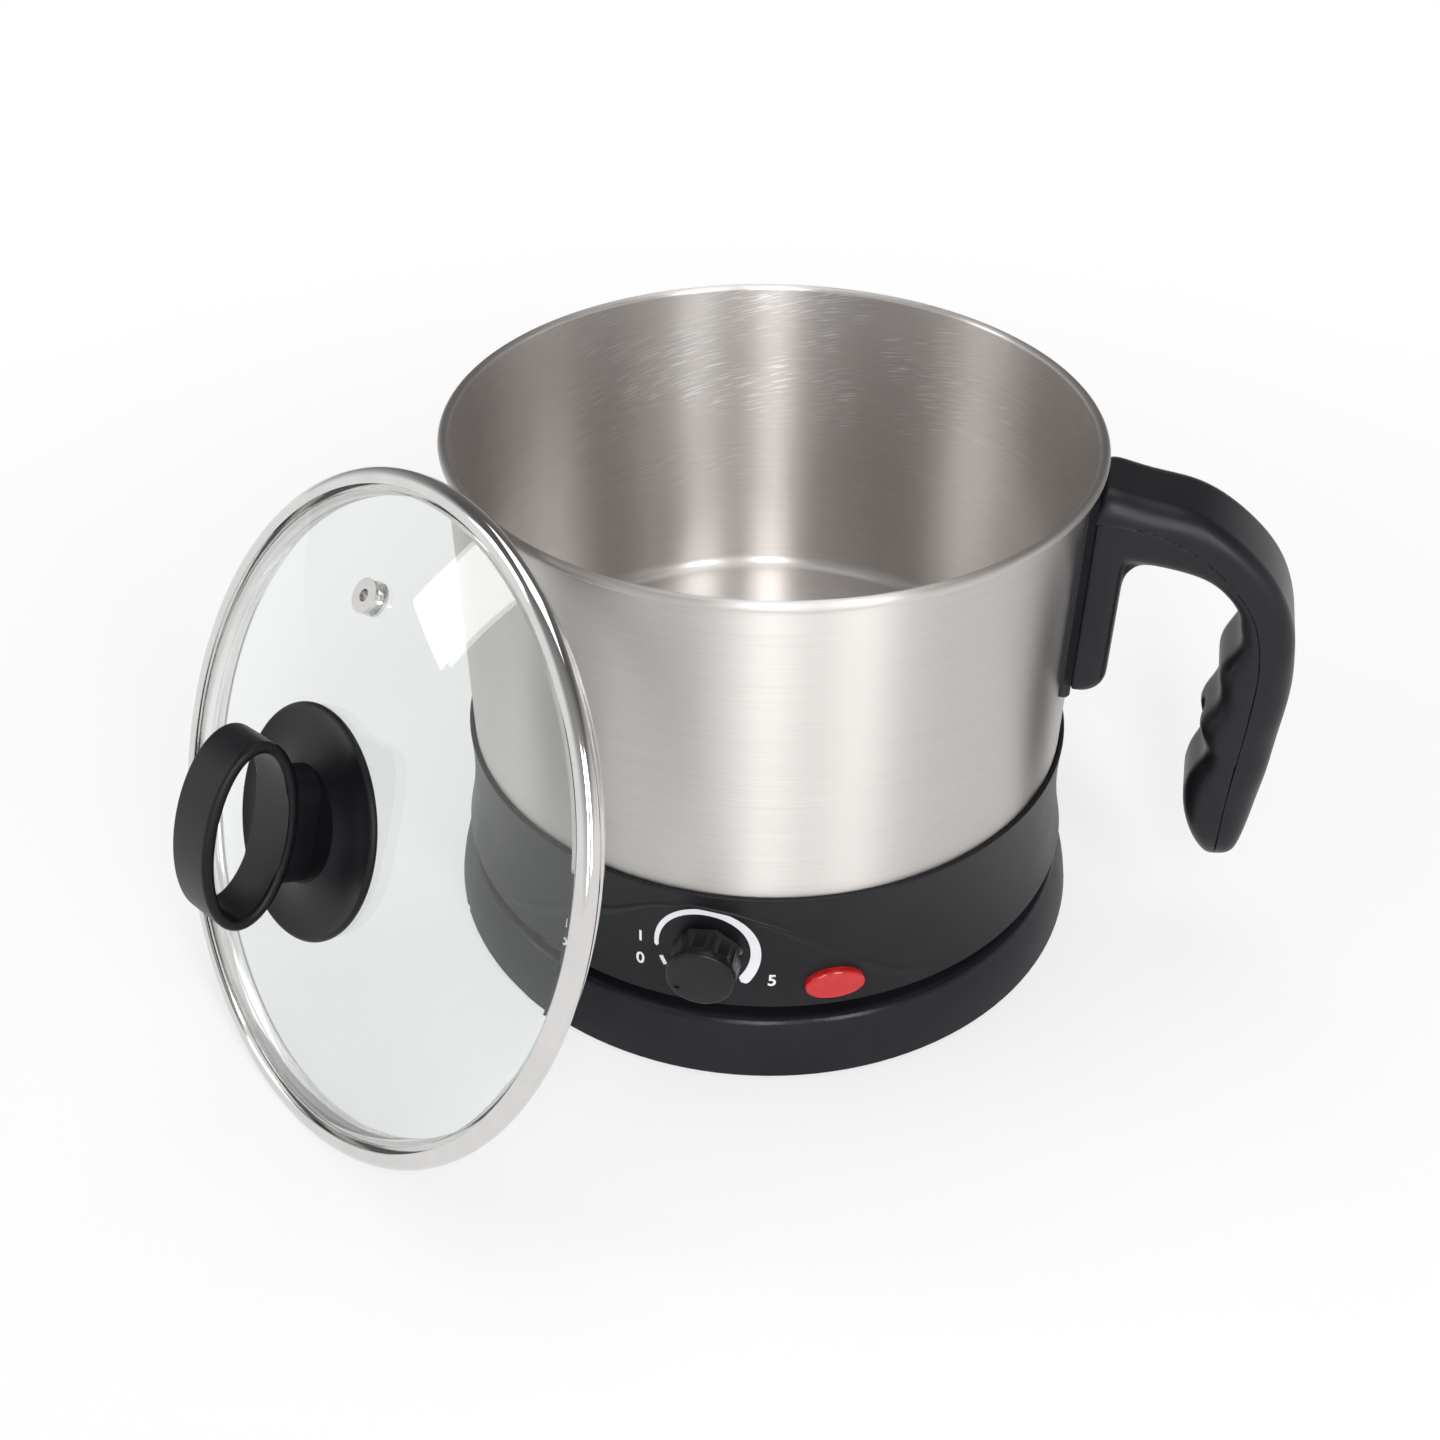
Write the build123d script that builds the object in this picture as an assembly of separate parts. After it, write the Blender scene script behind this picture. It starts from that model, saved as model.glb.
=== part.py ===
"""Electric pasta cooker: a steel pot with a hook handle that lifts off a round
power base, a dial and a lamp in its collar, and a glass lid leaning on the rim.
Millimetres, +Z up, floor at zero, pot axis on Z, handle along +X."""
from build123d import *
import math
import os

# Pot: drawn sheet with a rolled rim
POT_RADIUS = 81.2
POT_SHEET = 0.6
POT_HEIGHT_SHARE = 1.1601
POT_CORNER = 4.5
RIM_BEAD = 1.3
POT_SEAT_DEPTH = 7.8

# Power base: flared skirt, plate and feet
BASE_FLARE = 4.8
BASE_SHOULDER = 0.8
BASE_HEIGHT = 17.0
BASE_BULGE = 0.7
BASE_EDGE = 2.4
BASE_WALL = 2.2
BASE_FLOOR_GAP = 1.2
PLATE_THICK = 2.2
PLATE_LIFT = 2.0
PLATE_GAP = 0.4
FOOT_RADIUS = 7.0
FOOT_SINK = 0.6
FOOT_INSET = 19.4
BASE_POST_RADIUS = 4.0
BASE_SCREW_INSET = 27.4
BASE_SCREW_RADIUS = 1.5
BASE_SCREW_HEAD = 3.0
BASE_SCREW_HEAD_DEEP = 1.2
BASE_SCREW_LENGTH = 9.0

# Cord inlet in the rear of the skirt
GLAND_RADIUS = 4.2
GLAND_BORE = 2.6
GLAND_LIFT = 0.2
GLAND_LENGTH = 8.0
GLAND_PROUD = 0.8

# Cordless coupling between base and pot
PLUG_RADIUS = 18.0
PLUG_RISE = 12.4
PLUG_FLANGE = 5.0
PLUG_FLANGE_THICK = 2.0
SOCKET_PLAY = 0.6
SOCKET_WALL = 2.0
SOCKET_TOP = 2.6
SOCKET_FLANGE = 4.5
SOCKET_FLANGE_THICK = 2.0
SOCKET_HEADROOM = 1.0
INNER_TRACK = 7.5
OUTER_TRACK = 13.0
TRACK_WIDTH = 2.0
TRACK_DEPTH = 7.5
TRACK_RING = 1.2
EARTH_BORE = 2.6
EARTH_WALL = 0.7
PIN_RADIUS = 0.6
EARTH_PIN_RADIUS = 1.2
PIN_TAIL = 4.0
CONTACT_GAP = 0.3

# Collar: concave ring that carries the controls
COLLAR_REVEAL = 5.9
COLLAR_HEIGHT = 34.3
COLLAR_FLARE = 2.7
COLLAR_WAIST_STEP = 0.1
COLLAR_WAIST_RISE = 15.5
COLLAR_LIP = 1.1
COLLAR_WALL = 2.4
COLLAR_EDGE = 0.5
COLLAR_GAP = 0.4
SHELF_THICK = 2.2
SHELF_LIP = 3.5
SEAL_THICK = 2.0
SEAL_WIDTH = 5.5
SEAL_INSET = 5.2
STUD_INSET = 4.0
STUD_RADIUS = 2.0
STUD_LENGTH = 8.4
STUD_PLAY = 0.3
NUT_FLAT = 7.0
NUT_HEIGHT = 3.0
COLLAR_POST_RADIUS = 3.2
TRAY_SCREW_INSET = 4.4
TRAY_SCREW_RADIUS = 1.25
TRAY_SCREW_HEAD = 2.4
TRAY_SCREW_HEAD_DEEP = 1.0
TRAY_SCREW_LENGTH = 8.0
TRAY_THICK = 2.2
TRAY_GAP = 0.25
TRAY_FOOT_INSET = 3.0
TRAY_FOOT_WALL = 4.0
FIT_GAP = 0.05

# Heating parts under the pot floor
SPREADER_GAP = 3.0
SPREADER_THICK = 3.0
ELEMENT_CIRCLE_SHARE = 0.75
ELEMENT_WIDTH = 6.6
ELEMENT_FLAT = 3.0
ELEMENT_TURN = 315.0
TERMINAL_RADIUS = 1.6
TERMINAL_LENGTH = 9.0
CUTOUT_RADIUS = 8.0
CUTOUT_HEIGHT = 5.0
CUTOUT_FLANGE = 4.0
CUTOUT_FLANGE_THICK = 1.0
CUTOUT_TAB_WIDTH = 5.0
CUTOUT_TAB_THICK = 0.8
CUTOUT_TAB_LENGTH = 7.0

# Dial on the collar front
DIAL_AZIMUTH = -87.0
DIAL_RISE = 16.6
DIAL_REST_ANGLE = 210.0
KNOB_RADIUS = 9.0
KNOB_TAPER = 0.4
KNOB_LENGTH = 9.4
KNOB_STAND_OFF = 1.7
KNOB_EDGE = 0.9
KNOB_FLUTES = 14
FLUTE_RADIUS = 1.5
FLUTE_DEPTH = 0.55
FLUTE_CAP = 2.2
KNOB_BORE_DEPTH = 7.0
POINTER_RADIUS = 0.7
POINTER_OUT = 6.6
POINTER_DEPTH = 0.4
SHAFT_RADIUS = 3.0
SHAFT_FLAT = 1.0
SHAFT_FIT = 0.05
SHAFT_INSET = 6.0
BUSH_RADIUS = 4.4
BUSH_PLAY = 0.15
DIAL_PAD_WIDTH = 30.0
DIAL_PAD_RISE = 6.0
DIAL_PAD_DROP = 9.0
DIAL_PAD_DEEP = 2.6
THERMO_TOP_GAP = 0.5
BRACKET_PLATE = 1.4
THERMO_WIDTH = 24.0
THERMO_DEPTH = 14.0
THERMO_BLADE_WIDTH = 5.0
THERMO_BLADE_LENGTH = 6.0
THERMO_BLADE_THICK = 0.8
DIAL_SCREW_OUT = 6.9
DIAL_SCREW_RADIUS = 1.0
DIAL_SCREW_HEAD = 1.7
DIAL_SCREW_HEAD_DEEP = 0.9
DIAL_SCREW_SINK = 0.5

# Indicator on the collar front
LENS_AZIMUTH = -65.0
LENS_RISE = 5.9
LENS_WIDTH = 15.6
LENS_HEIGHT = 9.4
LENS_PROUD = 1.3
LENS_DEEP = 5.0
LENS_EDGE = 0.9
LENS_GAP = 0.1
LAMP_RADIUS = 3.2
LAMP_LENGTH = 11.0

# Handle: hook in two halves on a bracket
HANDLE_REACH = 53.7
HANDLE_DROP = 107.2
HANDLE_WIDTH = 26.0
COLUMN_ROUND = 4.0
HANDLE_RIM_GAP = 1.8
COLUMN_DEPTH = 8.3
COLUMN_LENGTH = 57.0
COLUMN_CORNER = 6.2
ARCH_CORNER = 6.0
HANDLE_BRACKET_THICK = 1.0
BRACKET_HALF = 16.5
BRACKET_EDGE = 0.7
BRACKET_CORNER = 3.0
ANCHOR_HALF = 9.0
ANCHOR_HEIGHT = 36.0
ANCHOR_SHEET = 0.8
ANCHOR_PLAY = 0.1
ANCHOR_STUD = 2.0
ANCHOR_STUD_LENGTH = 6.6
ANCHOR_STUD_PITCH = 16.0
ANCHOR_LOW = 10.0
CAP_NUT_RADIUS = 3.4
CAP_NUT_LENGTH = 2.6
CAP_NUT_PLAY = 0.2
HANDLE_SCREW_RADIUS = 1.5
HANDLE_SCREW_HEAD = 2.8
HANDLE_SCREW_HEAD_DEEP = 1.6
HANDLE_SCREW_SINK = 2.0
HANDLE_SCREW_BITE = 4.0
HANDLE_SCREW_REACH = 20.0
HANDLE_STATION_SHARES = [((0, 0), (0, 0.171)), ((0.18, 0.001), (0.19, 0.171)),
                         ((0.378, 0.017), (0.35, 0.172)), ((0.564, 0.056), (0.5, 0.183)),
                         ((0.771, 0.139), (0.62, 0.217)), ((0.901, 0.23), (0.69, 0.262)),
                         ((0.97, 0.338), (0.726, 0.335)), ((0.99, 0.4), (0.68, 0.4)),
                         ((1, 0.459), (0.665, 0.45)), ((0.998, 0.52), (0.687, 0.506)),
                         ((0.994, 0.58), (0.652, 0.565)), ((0.989, 0.645), (0.648, 0.63)),
                         ((0.983, 0.7), (0.678, 0.687)), ((0.975, 0.76), (0.637, 0.743)),
                         ((0.963, 0.83), (0.622, 0.818)), ((0.946, 0.895), (0.655, 0.883)),
                         ((0.925, 0.948), (0.72, 0.946)), ((0.885, 0.99), (0.79, 0.992))]
HANDLE_TIP_SHARES = (0.9, 0.55)
HANDLE_ROUND_SHARE = 0.36
ARM_UNDER_SHARE = 0.171
GRIP_FACE_SHARE = 0.648
HANDLE_SEAM_SHARES = [(0, 0.06), (0.257, 0.065), (0.425, 0.097), (0.62, 0.168), (0.75, 0.249),
                      (0.821, 0.356), (0.838, 0.478), (0.831, 0.646), (0.822, 0.813), (0.828, 0.94),
                      (0.838, 1.05)]
HANDLE_CLEAR_SHARE = 0.1
ARM_SCREW_SHARE = 0.4
GRIP_SCREW_SHARE = 0.606

# Lid: domed glass in a rolled band, with a loop on a dished skirt
LID_OVERHANG = 0.1
LID_ROLL = 2.6
LID_PLAY = 2.1
LIP_BEAD = 1.2
LIP_DROP = 5.9
LIP_WALL = 1.4
GLASS_THICK = 3.6
GLASS_DOME = 15.0
GLASS_GAP = 0.1
BAND_SHEET = 0.6
BAND_COVER = 3.0
VENT_OUT_SHARE = 0.6976
VENT_RADIUS = 4.2
VENT_SHANK = 2.6
VENT_BORE = 1.5
VENT_RIM = 0.9
SKIRT_RADIUS = 28.0
SKIRT_EDGE_THICK = 1.8
SKIRT_DISH = 0.8
SKIRT_DISH_SHARE = 0.78
SKIRT_RISE = 3.0
SKIRT_GAP = 0.2
LOOP_LONG = 22.5
LOOP_HIGH = 11.4
LOOP_WALL = 2.9
LOOP_HALF = 7.6
LOOP_EDGE = 1.3
LOOP_NECK = 4.6
NECK_LONG = 28.4
NECK_WIDE = 14.6
LID_SCREW_RADIUS = 2.0
LID_SCREW_HEAD = 4.4
LID_SCREW_HEAD_DEEP = 2.2
LID_SCREW_BITE = 4.4
LID_SCREW_PLAY = 0.3
WASHER_RADIUS = 8.0
WASHER_THICK = 1.2

# Lid leaning on the rim, its knob turned outwards
LID_AZIMUTH = 233.5
LIP_REST = 1.5
LID_SIDE_SHIFT = -5.0
LID_TURN = 10.5
LEAN_GAP = 0.3

# Shared
OVERRUN = 2.0
BASE_SCREW_ANGLES = (30.0, 150.0, 270.0)
FOOT_ANGLES = (45.0, 135.0, 225.0, 315.0)
TRAY_SCREW_ANGLES = (0.0, 120.0, 240.0)
STUD_ANGLES = (90.0, 210.0, 330.0)

# Heights and radii that follow
collar_top = POT_RADIUS + COLLAR_GAP + COLLAR_LIP
collar_waist = collar_top + COLLAR_WAIST_STEP
collar_foot = collar_top + COLLAR_FLARE
base_top = collar_foot - BASE_SHOULDER
base_radius = base_top + BASE_FLARE
foot_circle = base_radius - FOOT_INSET
base_screw_circle = base_radius - BASE_SCREW_INSET
seal_outer = POT_RADIUS - SEAL_INSET
seal_inner = seal_outer - SEAL_WIDTH
stud_circle = seal_inner - STUD_INSET
shelf_radius = stud_circle - SHELF_LIP
spreader_radius = shelf_radius - SPREADER_GAP
element_circle = ELEMENT_CIRCLE_SHARE * spreader_radius
tray_screw_circle = collar_waist - COLLAR_WALL - TRAY_SCREW_INSET
tray_foot = tray_screw_circle - TRAY_FOOT_INSET
pot_height = POT_HEIGHT_SHARE * POT_RADIUS
plate_top = PLATE_LIFT + PLATE_THICK
gland_height = plate_top + GLAND_RADIUS + GLAND_LIFT
cover_under = BASE_HEIGHT - BASE_WALL
plug_top = BASE_HEIGHT + PLUG_RISE
track_floor = plug_top - TRACK_DEPTH
collar_low = BASE_HEIGHT + COLLAR_REVEAL
collar_high = collar_low + COLLAR_HEIGHT
tray_top = collar_low + TRAY_THICK
pot_low = collar_high - POT_SEAT_DEPTH
pot_inner = POT_RADIUS - POT_SHEET
rim_radius = pot_inner + RIM_BEAD
rim_z = pot_low + pot_height - RIM_BEAD
rim_outer = rim_radius + RIM_BEAD
shelf_top = pot_low - SEAL_THICK
shelf_low = shelf_top - SHELF_THICK
socket_bore = PLUG_RADIUS + SOCKET_PLAY
socket_radius = socket_bore + SOCKET_WALL
socket_roof = plug_top + SOCKET_HEADROOM
spreader_low = pot_low - SPREADER_THICK
dial_z = collar_low + DIAL_RISE
pad_face = collar_waist - COLLAR_WALL - DIAL_PAD_DEEP
plate_back = pad_face - BRACKET_PLATE
knob_back = collar_waist + KNOB_STAND_OFF
knob_face = knob_back + KNOB_LENGTH
shaft_tip = knob_back + KNOB_BORE_DEPTH
shaft_root = plate_back - SHAFT_INSET
lens_face = collar_waist + LENS_PROUD + (collar_foot - collar_waist) / 2
lens_back = lens_face - LENS_PROUD - LENS_DEEP
handle_root = POT_RADIUS + HANDLE_BRACKET_THICK
handle_top = rim_z - RIM_BEAD - HANDLE_RIM_GAP
column_face = handle_root + COLUMN_DEPTH
column_low = handle_top - COLUMN_LENGTH
anchor_low = column_low + ANCHOR_LOW
lid_ring = rim_outer + LID_OVERHANG - LID_ROLL
lip_radius = pot_inner - LID_PLAY - LIP_BEAD
lip_outer = lip_radius + LIP_BEAD
lip_inner = lip_outer - LIP_WALL
glass_top = LID_ROLL - BAND_SHEET
glass_low = glass_top - GLASS_THICK
cover_inner = lid_ring - BAND_COVER
vent_out = VENT_OUT_SHARE * cover_inner
dome_top = glass_top + GLASS_DOME
dome_radius = (cover_inner ** 2 + GLASS_DOME ** 2) / (2 * GLASS_DOME)
lid_reach = lid_ring + lip_radius
lip_slope = math.atan2(LIP_DROP, lid_reach)
lean = math.acos((rim_z + LIP_REST - LID_ROLL) / math.hypot(lid_reach, LIP_DROP)) - lip_slope


def dome_height(radius):
    """Top of the glass at a distance from the lid's axis."""
    return dome_top - dome_radius + math.sqrt(dome_radius ** 2 - radius ** 2)


skirt_low = dome_height(SKIRT_RADIUS) + SKIRT_GAP
skirt_rim = skirt_low + SKIRT_EDGE_THICK
skirt_top = skirt_low + SKIRT_RISE
loop_z = skirt_top + LOOP_NECK + LOOP_HIGH
lid_z = lid_ring * math.cos(lean) + LID_ROLL
lid_out = (rim_outer + LEAN_GAP + LIP_BEAD + lip_radius * math.sin(lean)
           + LIP_DROP * math.cos(lean))


def lathe(*points):
    """Ring turned from a closed outline of radius and height."""
    return revolve(Plane.XZ * make_face(Polyline(*points, close=True)), Axis.Z)


def disc(radius, low, high, at=(0, 0)):
    """Upright cylinder between two heights."""
    return Pos(at[0], at[1], (low + high) / 2) * Cylinder(radius, high - low)


def ring(outer, inner, low, high):
    """Upright ring with square edges."""
    return lathe((inner, low), (outer, low), (outer, high), (inner, high))


def around(radius, azimuth):
    """Point on a circle about the pot's axis."""
    return (radius * math.cos(math.radians(azimuth)), radius * math.sin(math.radians(azimuth)))


def outward(azimuth, height):
    """Plane whose Z points out from the pot's axis, with its Y upwards."""
    x, y = around(1, azimuth)
    return Plane(origin=(0, 0, height), x_dir=(-y, x, 0), z_dir=(x, y, 0))


def rod(radius, start, end, at=(0, 0)):
    """Cylinder along a plane's Z between two distances."""
    return Pos(at[0], at[1], (start + end) / 2) * Cylinder(radius, end - start)


def block(width, height, start, end, at=(0, 0)):
    """Block along a plane's Z between two distances."""
    return Pos(at[0], at[1], (start + end) / 2) * Box(width, height, end - start)


def group(shapes):
    """Several separate solids in one node."""
    return Compound(children=list(shapes))


def round_edges(shape, height, radius):
    """Outermost circular edge at a height, rounded."""
    edges = shape.edges().filter_by(GeomType.CIRCLE)
    edges = edges.filter_by(lambda e: abs(e.center().Z - height) < FIT_GAP)
    return fillet(edges.sort_by(lambda e: e.radius)[-1], radius)


# Power base


def skirt(inset, low, bulge):
    """Flared body of the base, drawn in all round by an inset."""
    foot = base_radius - inset
    neck = base_top - inset
    top = BASE_HEIGHT - inset
    mid = ((foot + neck) / 2 + bulge, (BASE_FLOOR_GAP + top) / 2)
    line = Polyline((0, top), (0, low), (foot, low), (foot, BASE_FLOOR_GAP))
    line += ThreePointArc((foot, BASE_FLOOR_GAP), mid, (neck, top))
    line += Line((neck, top), (0, top))
    return revolve(Plane.XZ * make_face(line), Axis.Z)


def gland_plane():
    return outward(90, gland_height)


def gland_face():
    """Distance of the gland's outer end from the axis."""
    rise = (gland_height - BASE_FLOOR_GAP) / (BASE_HEIGHT - BASE_FLOOR_GAP)
    return base_radius - (base_radius - base_top) * rise + BASE_BULGE + GLAND_PROUD


def base_top_cover():
    low = BASE_FLOOR_GAP - OVERRUN
    mid_r = (base_radius + base_top) / 2 + BASE_BULGE
    outer = skirt(0, BASE_FLOOR_GAP - FIT_GAP, BASE_BULGE)
    outer = round_edges(outer, BASE_HEIGHT, BASE_EDGE)
    body = outer - skirt(BASE_WALL, low, BASE_BULGE)
    for way in BASE_SCREW_ANGLES:
        at = around(base_screw_circle, way)
        body += disc(BASE_POST_RADIUS, plate_top, cover_under + FIT_GAP, at)
        body -= disc(BASE_SCREW_RADIUS, plate_top - OVERRUN, PLATE_LIFT + BASE_SCREW_LENGTH, at)
    body -= disc(PLUG_RADIUS + FIT_GAP, cover_under - OVERRUN, BASE_HEIGHT + OVERRUN)
    body -= gland_plane() * rod(GLAND_RADIUS + FIT_GAP, gland_face() - GLAND_LENGTH, mid_r + OVERRUN)
    return body


def base_bottom_plate():
    radius = base_radius - BASE_WALL - PLATE_GAP
    lip = (base_radius - base_top) * PLATE_THICK / (BASE_HEIGHT - BASE_FLOOR_GAP)
    plate = disc(radius - lip, PLATE_LIFT, plate_top)
    for way in BASE_SCREW_ANGLES:
        at = around(base_screw_circle, way)
        plate -= disc(BASE_SCREW_RADIUS, PLATE_LIFT - OVERRUN, plate_top + OVERRUN, at)
        plate -= disc(BASE_SCREW_HEAD + FIT_GAP, PLATE_LIFT - OVERRUN, PLATE_LIFT + BASE_SCREW_HEAD_DEEP, at)
    for way in FOOT_ANGLES:
        plate -= disc(FOOT_RADIUS + FIT_GAP, PLATE_LIFT - OVERRUN, PLATE_LIFT + FOOT_SINK,
                      around(foot_circle, way))
    return plate


def base_feet():
    return group(disc(FOOT_RADIUS, 0, PLATE_LIFT + FOOT_SINK, around(foot_circle, way))
                 for way in FOOT_ANGLES)


def base_screws():
    screws = []
    for way in BASE_SCREW_ANGLES:
        at = around(base_screw_circle, way)
        screw = disc(BASE_SCREW_HEAD, PLATE_LIFT, PLATE_LIFT + BASE_SCREW_HEAD_DEEP, at)
        screw += disc(BASE_SCREW_RADIUS - FIT_GAP, PLATE_LIFT, PLATE_LIFT + BASE_SCREW_LENGTH, at)
        screws.append(screw)
    return group(screws)


def cord_gland():
    bush = rod(GLAND_RADIUS, gland_face() - GLAND_LENGTH, gland_face())
    bush -= rod(GLAND_BORE, gland_face() - GLAND_LENGTH - OVERRUN, gland_face() + OVERRUN)
    return gland_plane() * bush


def base_connector():
    """Round plug with two contact tracks and an earth bore."""
    plug = disc(PLUG_RADIUS, cover_under - PLUG_FLANGE_THICK, plug_top)
    plug += disc(PLUG_RADIUS + PLUG_FLANGE, cover_under - PLUG_FLANGE_THICK, cover_under)
    half = TRACK_WIDTH / 2
    for track in (INNER_TRACK, OUTER_TRACK):
        plug -= ring(track + half, track - half, track_floor, plug_top + OVERRUN)
    return plug - disc(EARTH_BORE, track_floor, plug_top + OVERRUN)


def base_contacts():
    half = TRACK_WIDTH / 2 - FIT_GAP
    rings = [ring(track + half, track - half, track_floor, track_floor + TRACK_RING)
             for track in (INNER_TRACK, OUTER_TRACK)]
    outer = EARTH_BORE - FIT_GAP
    return group(rings + [ring(outer, outer - EARTH_WALL, track_floor, plug_top - TRACK_RING)])


# Pot and what hangs under it


def pot_shell():
    outer = round_edges(disc(POT_RADIUS, pot_low, rim_z), pot_low, POT_CORNER)
    floor = pot_low + POT_SHEET
    inner = round_edges(disc(pot_inner, floor, rim_z + OVERRUN), floor, POT_CORNER - POT_SHEET)
    return outer - inner + Pos(0, 0, rim_z) * Torus(rim_radius, RIM_BEAD)


def heat_spreader():
    return disc(spreader_radius, spreader_low, pot_low)


def heating_element():
    """Sheathed ring, flat where it is brazed on, with a terminal at each end."""
    half = ELEMENT_WIDTH / 2
    low = spreader_low - ELEMENT_FLAT
    line = Polyline((element_circle - half, low), (element_circle - half, spreader_low),
                    (element_circle + half, spreader_low), (element_circle + half, low))
    line += ThreePointArc((element_circle + half, low), (element_circle, low - half),
                          (element_circle - half, low))
    tube = revolve(Plane.XZ * make_face(line), Axis.Z, revolution_arc=ELEMENT_TURN)
    pitch = math.degrees(ELEMENT_WIDTH / element_circle)
    for way in (pitch, ELEMENT_TURN - pitch):
        tube += disc(TERMINAL_RADIUS, low - half - TERMINAL_LENGTH, low, around(element_circle, way))
    return tube


def thermal_cutout():
    low = spreader_low - CUTOUT_FLANGE_THICK
    can = disc(CUTOUT_RADIUS + CUTOUT_FLANGE, low, spreader_low)
    can += disc(CUTOUT_RADIUS, low - CUTOUT_HEIGHT, low)
    for side in (1, -1):
        tab = Box(CUTOUT_TAB_WIDTH, CUTOUT_TAB_THICK, CUTOUT_TAB_LENGTH)
        can += Pos(0, side * CUTOUT_RADIUS / 2, low - CUTOUT_HEIGHT - CUTOUT_TAB_LENGTH / 2) * tab
    return can


def pot_seal():
    return ring(seal_outer, seal_inner, shelf_top, pot_low)


def pot_studs():
    return group(disc(STUD_RADIUS, pot_low - STUD_LENGTH, pot_low, around(stud_circle, way))
                 for way in STUD_ANGLES)


def stud_nuts():
    nuts = []
    low = shelf_low - NUT_HEIGHT
    for way in STUD_ANGLES:
        at = around(stud_circle, way)
        hexagon = extrude(RegularPolygon(NUT_FLAT / 2, 6, major_radius=False), NUT_HEIGHT)
        nut = Pos(at[0], at[1], low) * hexagon
        nuts.append(nut - disc(STUD_RADIUS + FIT_GAP, low - OVERRUN, shelf_low + OVERRUN, at))
    return group(nuts)


# Collar, tray and coupling


def collar_line(inset):
    """Concave side of the collar as an arc."""
    return ThreePointArc((collar_foot - inset, collar_low),
                         (collar_waist - inset, collar_low + COLLAR_WAIST_RISE),
                         (collar_top - inset, collar_high))


def collar_body(inset):
    """Everything inside the collar's side, drawn in by an inset."""
    line = collar_line(inset)
    line += Polyline((collar_top - inset, collar_high), (0, collar_high), (0, collar_low),
                     (collar_foot - inset, collar_low))
    return revolve(Plane.XZ * make_face(line), Axis.Z)


def dial_plane():
    return outward(DIAL_AZIMUTH, dial_z)


def lens_plane():
    return outward(LENS_AZIMUTH, collar_low + LENS_RISE)


def dial_pad():
    """Flat seat for the thermostat on the inside of the collar."""
    height = DIAL_PAD_RISE + DIAL_PAD_DROP
    at = (0, (DIAL_PAD_RISE - DIAL_PAD_DROP) / 2)
    return dial_plane() * block(DIAL_PAD_WIDTH, height, pad_face, collar_foot, at)


def lens_column(grow, start, end):
    """Oval prism of the indicator."""
    oval = Ellipse(LENS_WIDTH / 2 + grow, LENS_HEIGHT / 2 + grow)
    return lens_plane() * extrude(Pos(0, 0, start) * oval, end - start)


def collar():
    solid = collar_body(0)
    hollow = collar_body(COLLAR_WALL) & disc(collar_foot, collar_low, shelf_low)
    body = round_edges(solid, collar_high, COLLAR_EDGE) - hollow
    body -= disc(POT_RADIUS + COLLAR_GAP, shelf_top, collar_high + OVERRUN)
    body -= disc(shelf_radius, shelf_low - OVERRUN, shelf_top + OVERRUN)
    body += dial_pad() & solid
    for way in TRAY_SCREW_ANGLES:
        at = around(tray_screw_circle, way)
        body += disc(COLLAR_POST_RADIUS, tray_top, shelf_low + FIT_GAP, at)
        body -= disc(TRAY_SCREW_RADIUS, tray_top - OVERRUN, collar_low + TRAY_SCREW_LENGTH, at)
    for way in STUD_ANGLES:
        body -= disc(STUD_RADIUS + STUD_PLAY, shelf_low - OVERRUN, shelf_top + OVERRUN,
                     around(stud_circle, way))
    body -= dial_plane() * rod(BUSH_RADIUS + BUSH_PLAY, pad_face - OVERRUN, collar_foot)
    for side in (1, -1):
        at = (side * DIAL_SCREW_OUT, 0)
        body -= dial_plane() * rod(DIAL_SCREW_RADIUS + FIT_GAP, pad_face - OVERRUN, collar_foot, at)
        body -= dial_plane() * rod(DIAL_SCREW_HEAD + FIT_GAP, screw_seat(), collar_foot, at)
    return body - lens_column(LENS_GAP, lens_back - OVERRUN, lens_face + OVERRUN)


def screw_seat():
    """Depth where the dial screws' heads rest in the collar."""
    return collar_waist - DIAL_SCREW_SINK - DIAL_SCREW_HEAD_DEEP


def collar_tray():
    """Cover under the collar, with the ring that stands on the base."""
    tray = disc(collar_foot, collar_low, tray_top) & collar_body(COLLAR_WALL + TRAY_GAP)
    tray += ring(tray_foot, tray_foot - TRAY_FOOT_WALL, BASE_HEIGHT, collar_low + FIT_GAP)
    tray -= disc(socket_radius + FIT_GAP, collar_low - OVERRUN, tray_top + OVERRUN)
    for way in TRAY_SCREW_ANGLES:
        at = around(tray_screw_circle, way)
        tray -= disc(TRAY_SCREW_RADIUS + FIT_GAP, collar_low - OVERRUN, tray_top + OVERRUN, at)
        tray -= disc(TRAY_SCREW_HEAD + FIT_GAP, collar_low - OVERRUN, collar_low + TRAY_SCREW_HEAD_DEEP, at)
    return tray - lens_column(TRAY_GAP, lens_back - TRAY_GAP, lens_face)


def tray_screws():
    screws = []
    for way in TRAY_SCREW_ANGLES:
        at = around(tray_screw_circle, way)
        screw = disc(TRAY_SCREW_HEAD, collar_low, collar_low + TRAY_SCREW_HEAD_DEEP, at)
        screw += disc(TRAY_SCREW_RADIUS - FIT_GAP, collar_low, collar_low + TRAY_SCREW_LENGTH, at)
        screws.append(screw)
    return group(screws)


def contact_pins():
    """Distance from the axis and radius of each pin."""
    return [(0, EARTH_PIN_RADIUS), (INNER_TRACK, PIN_RADIUS), (OUTER_TRACK, PIN_RADIUS)]


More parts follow.
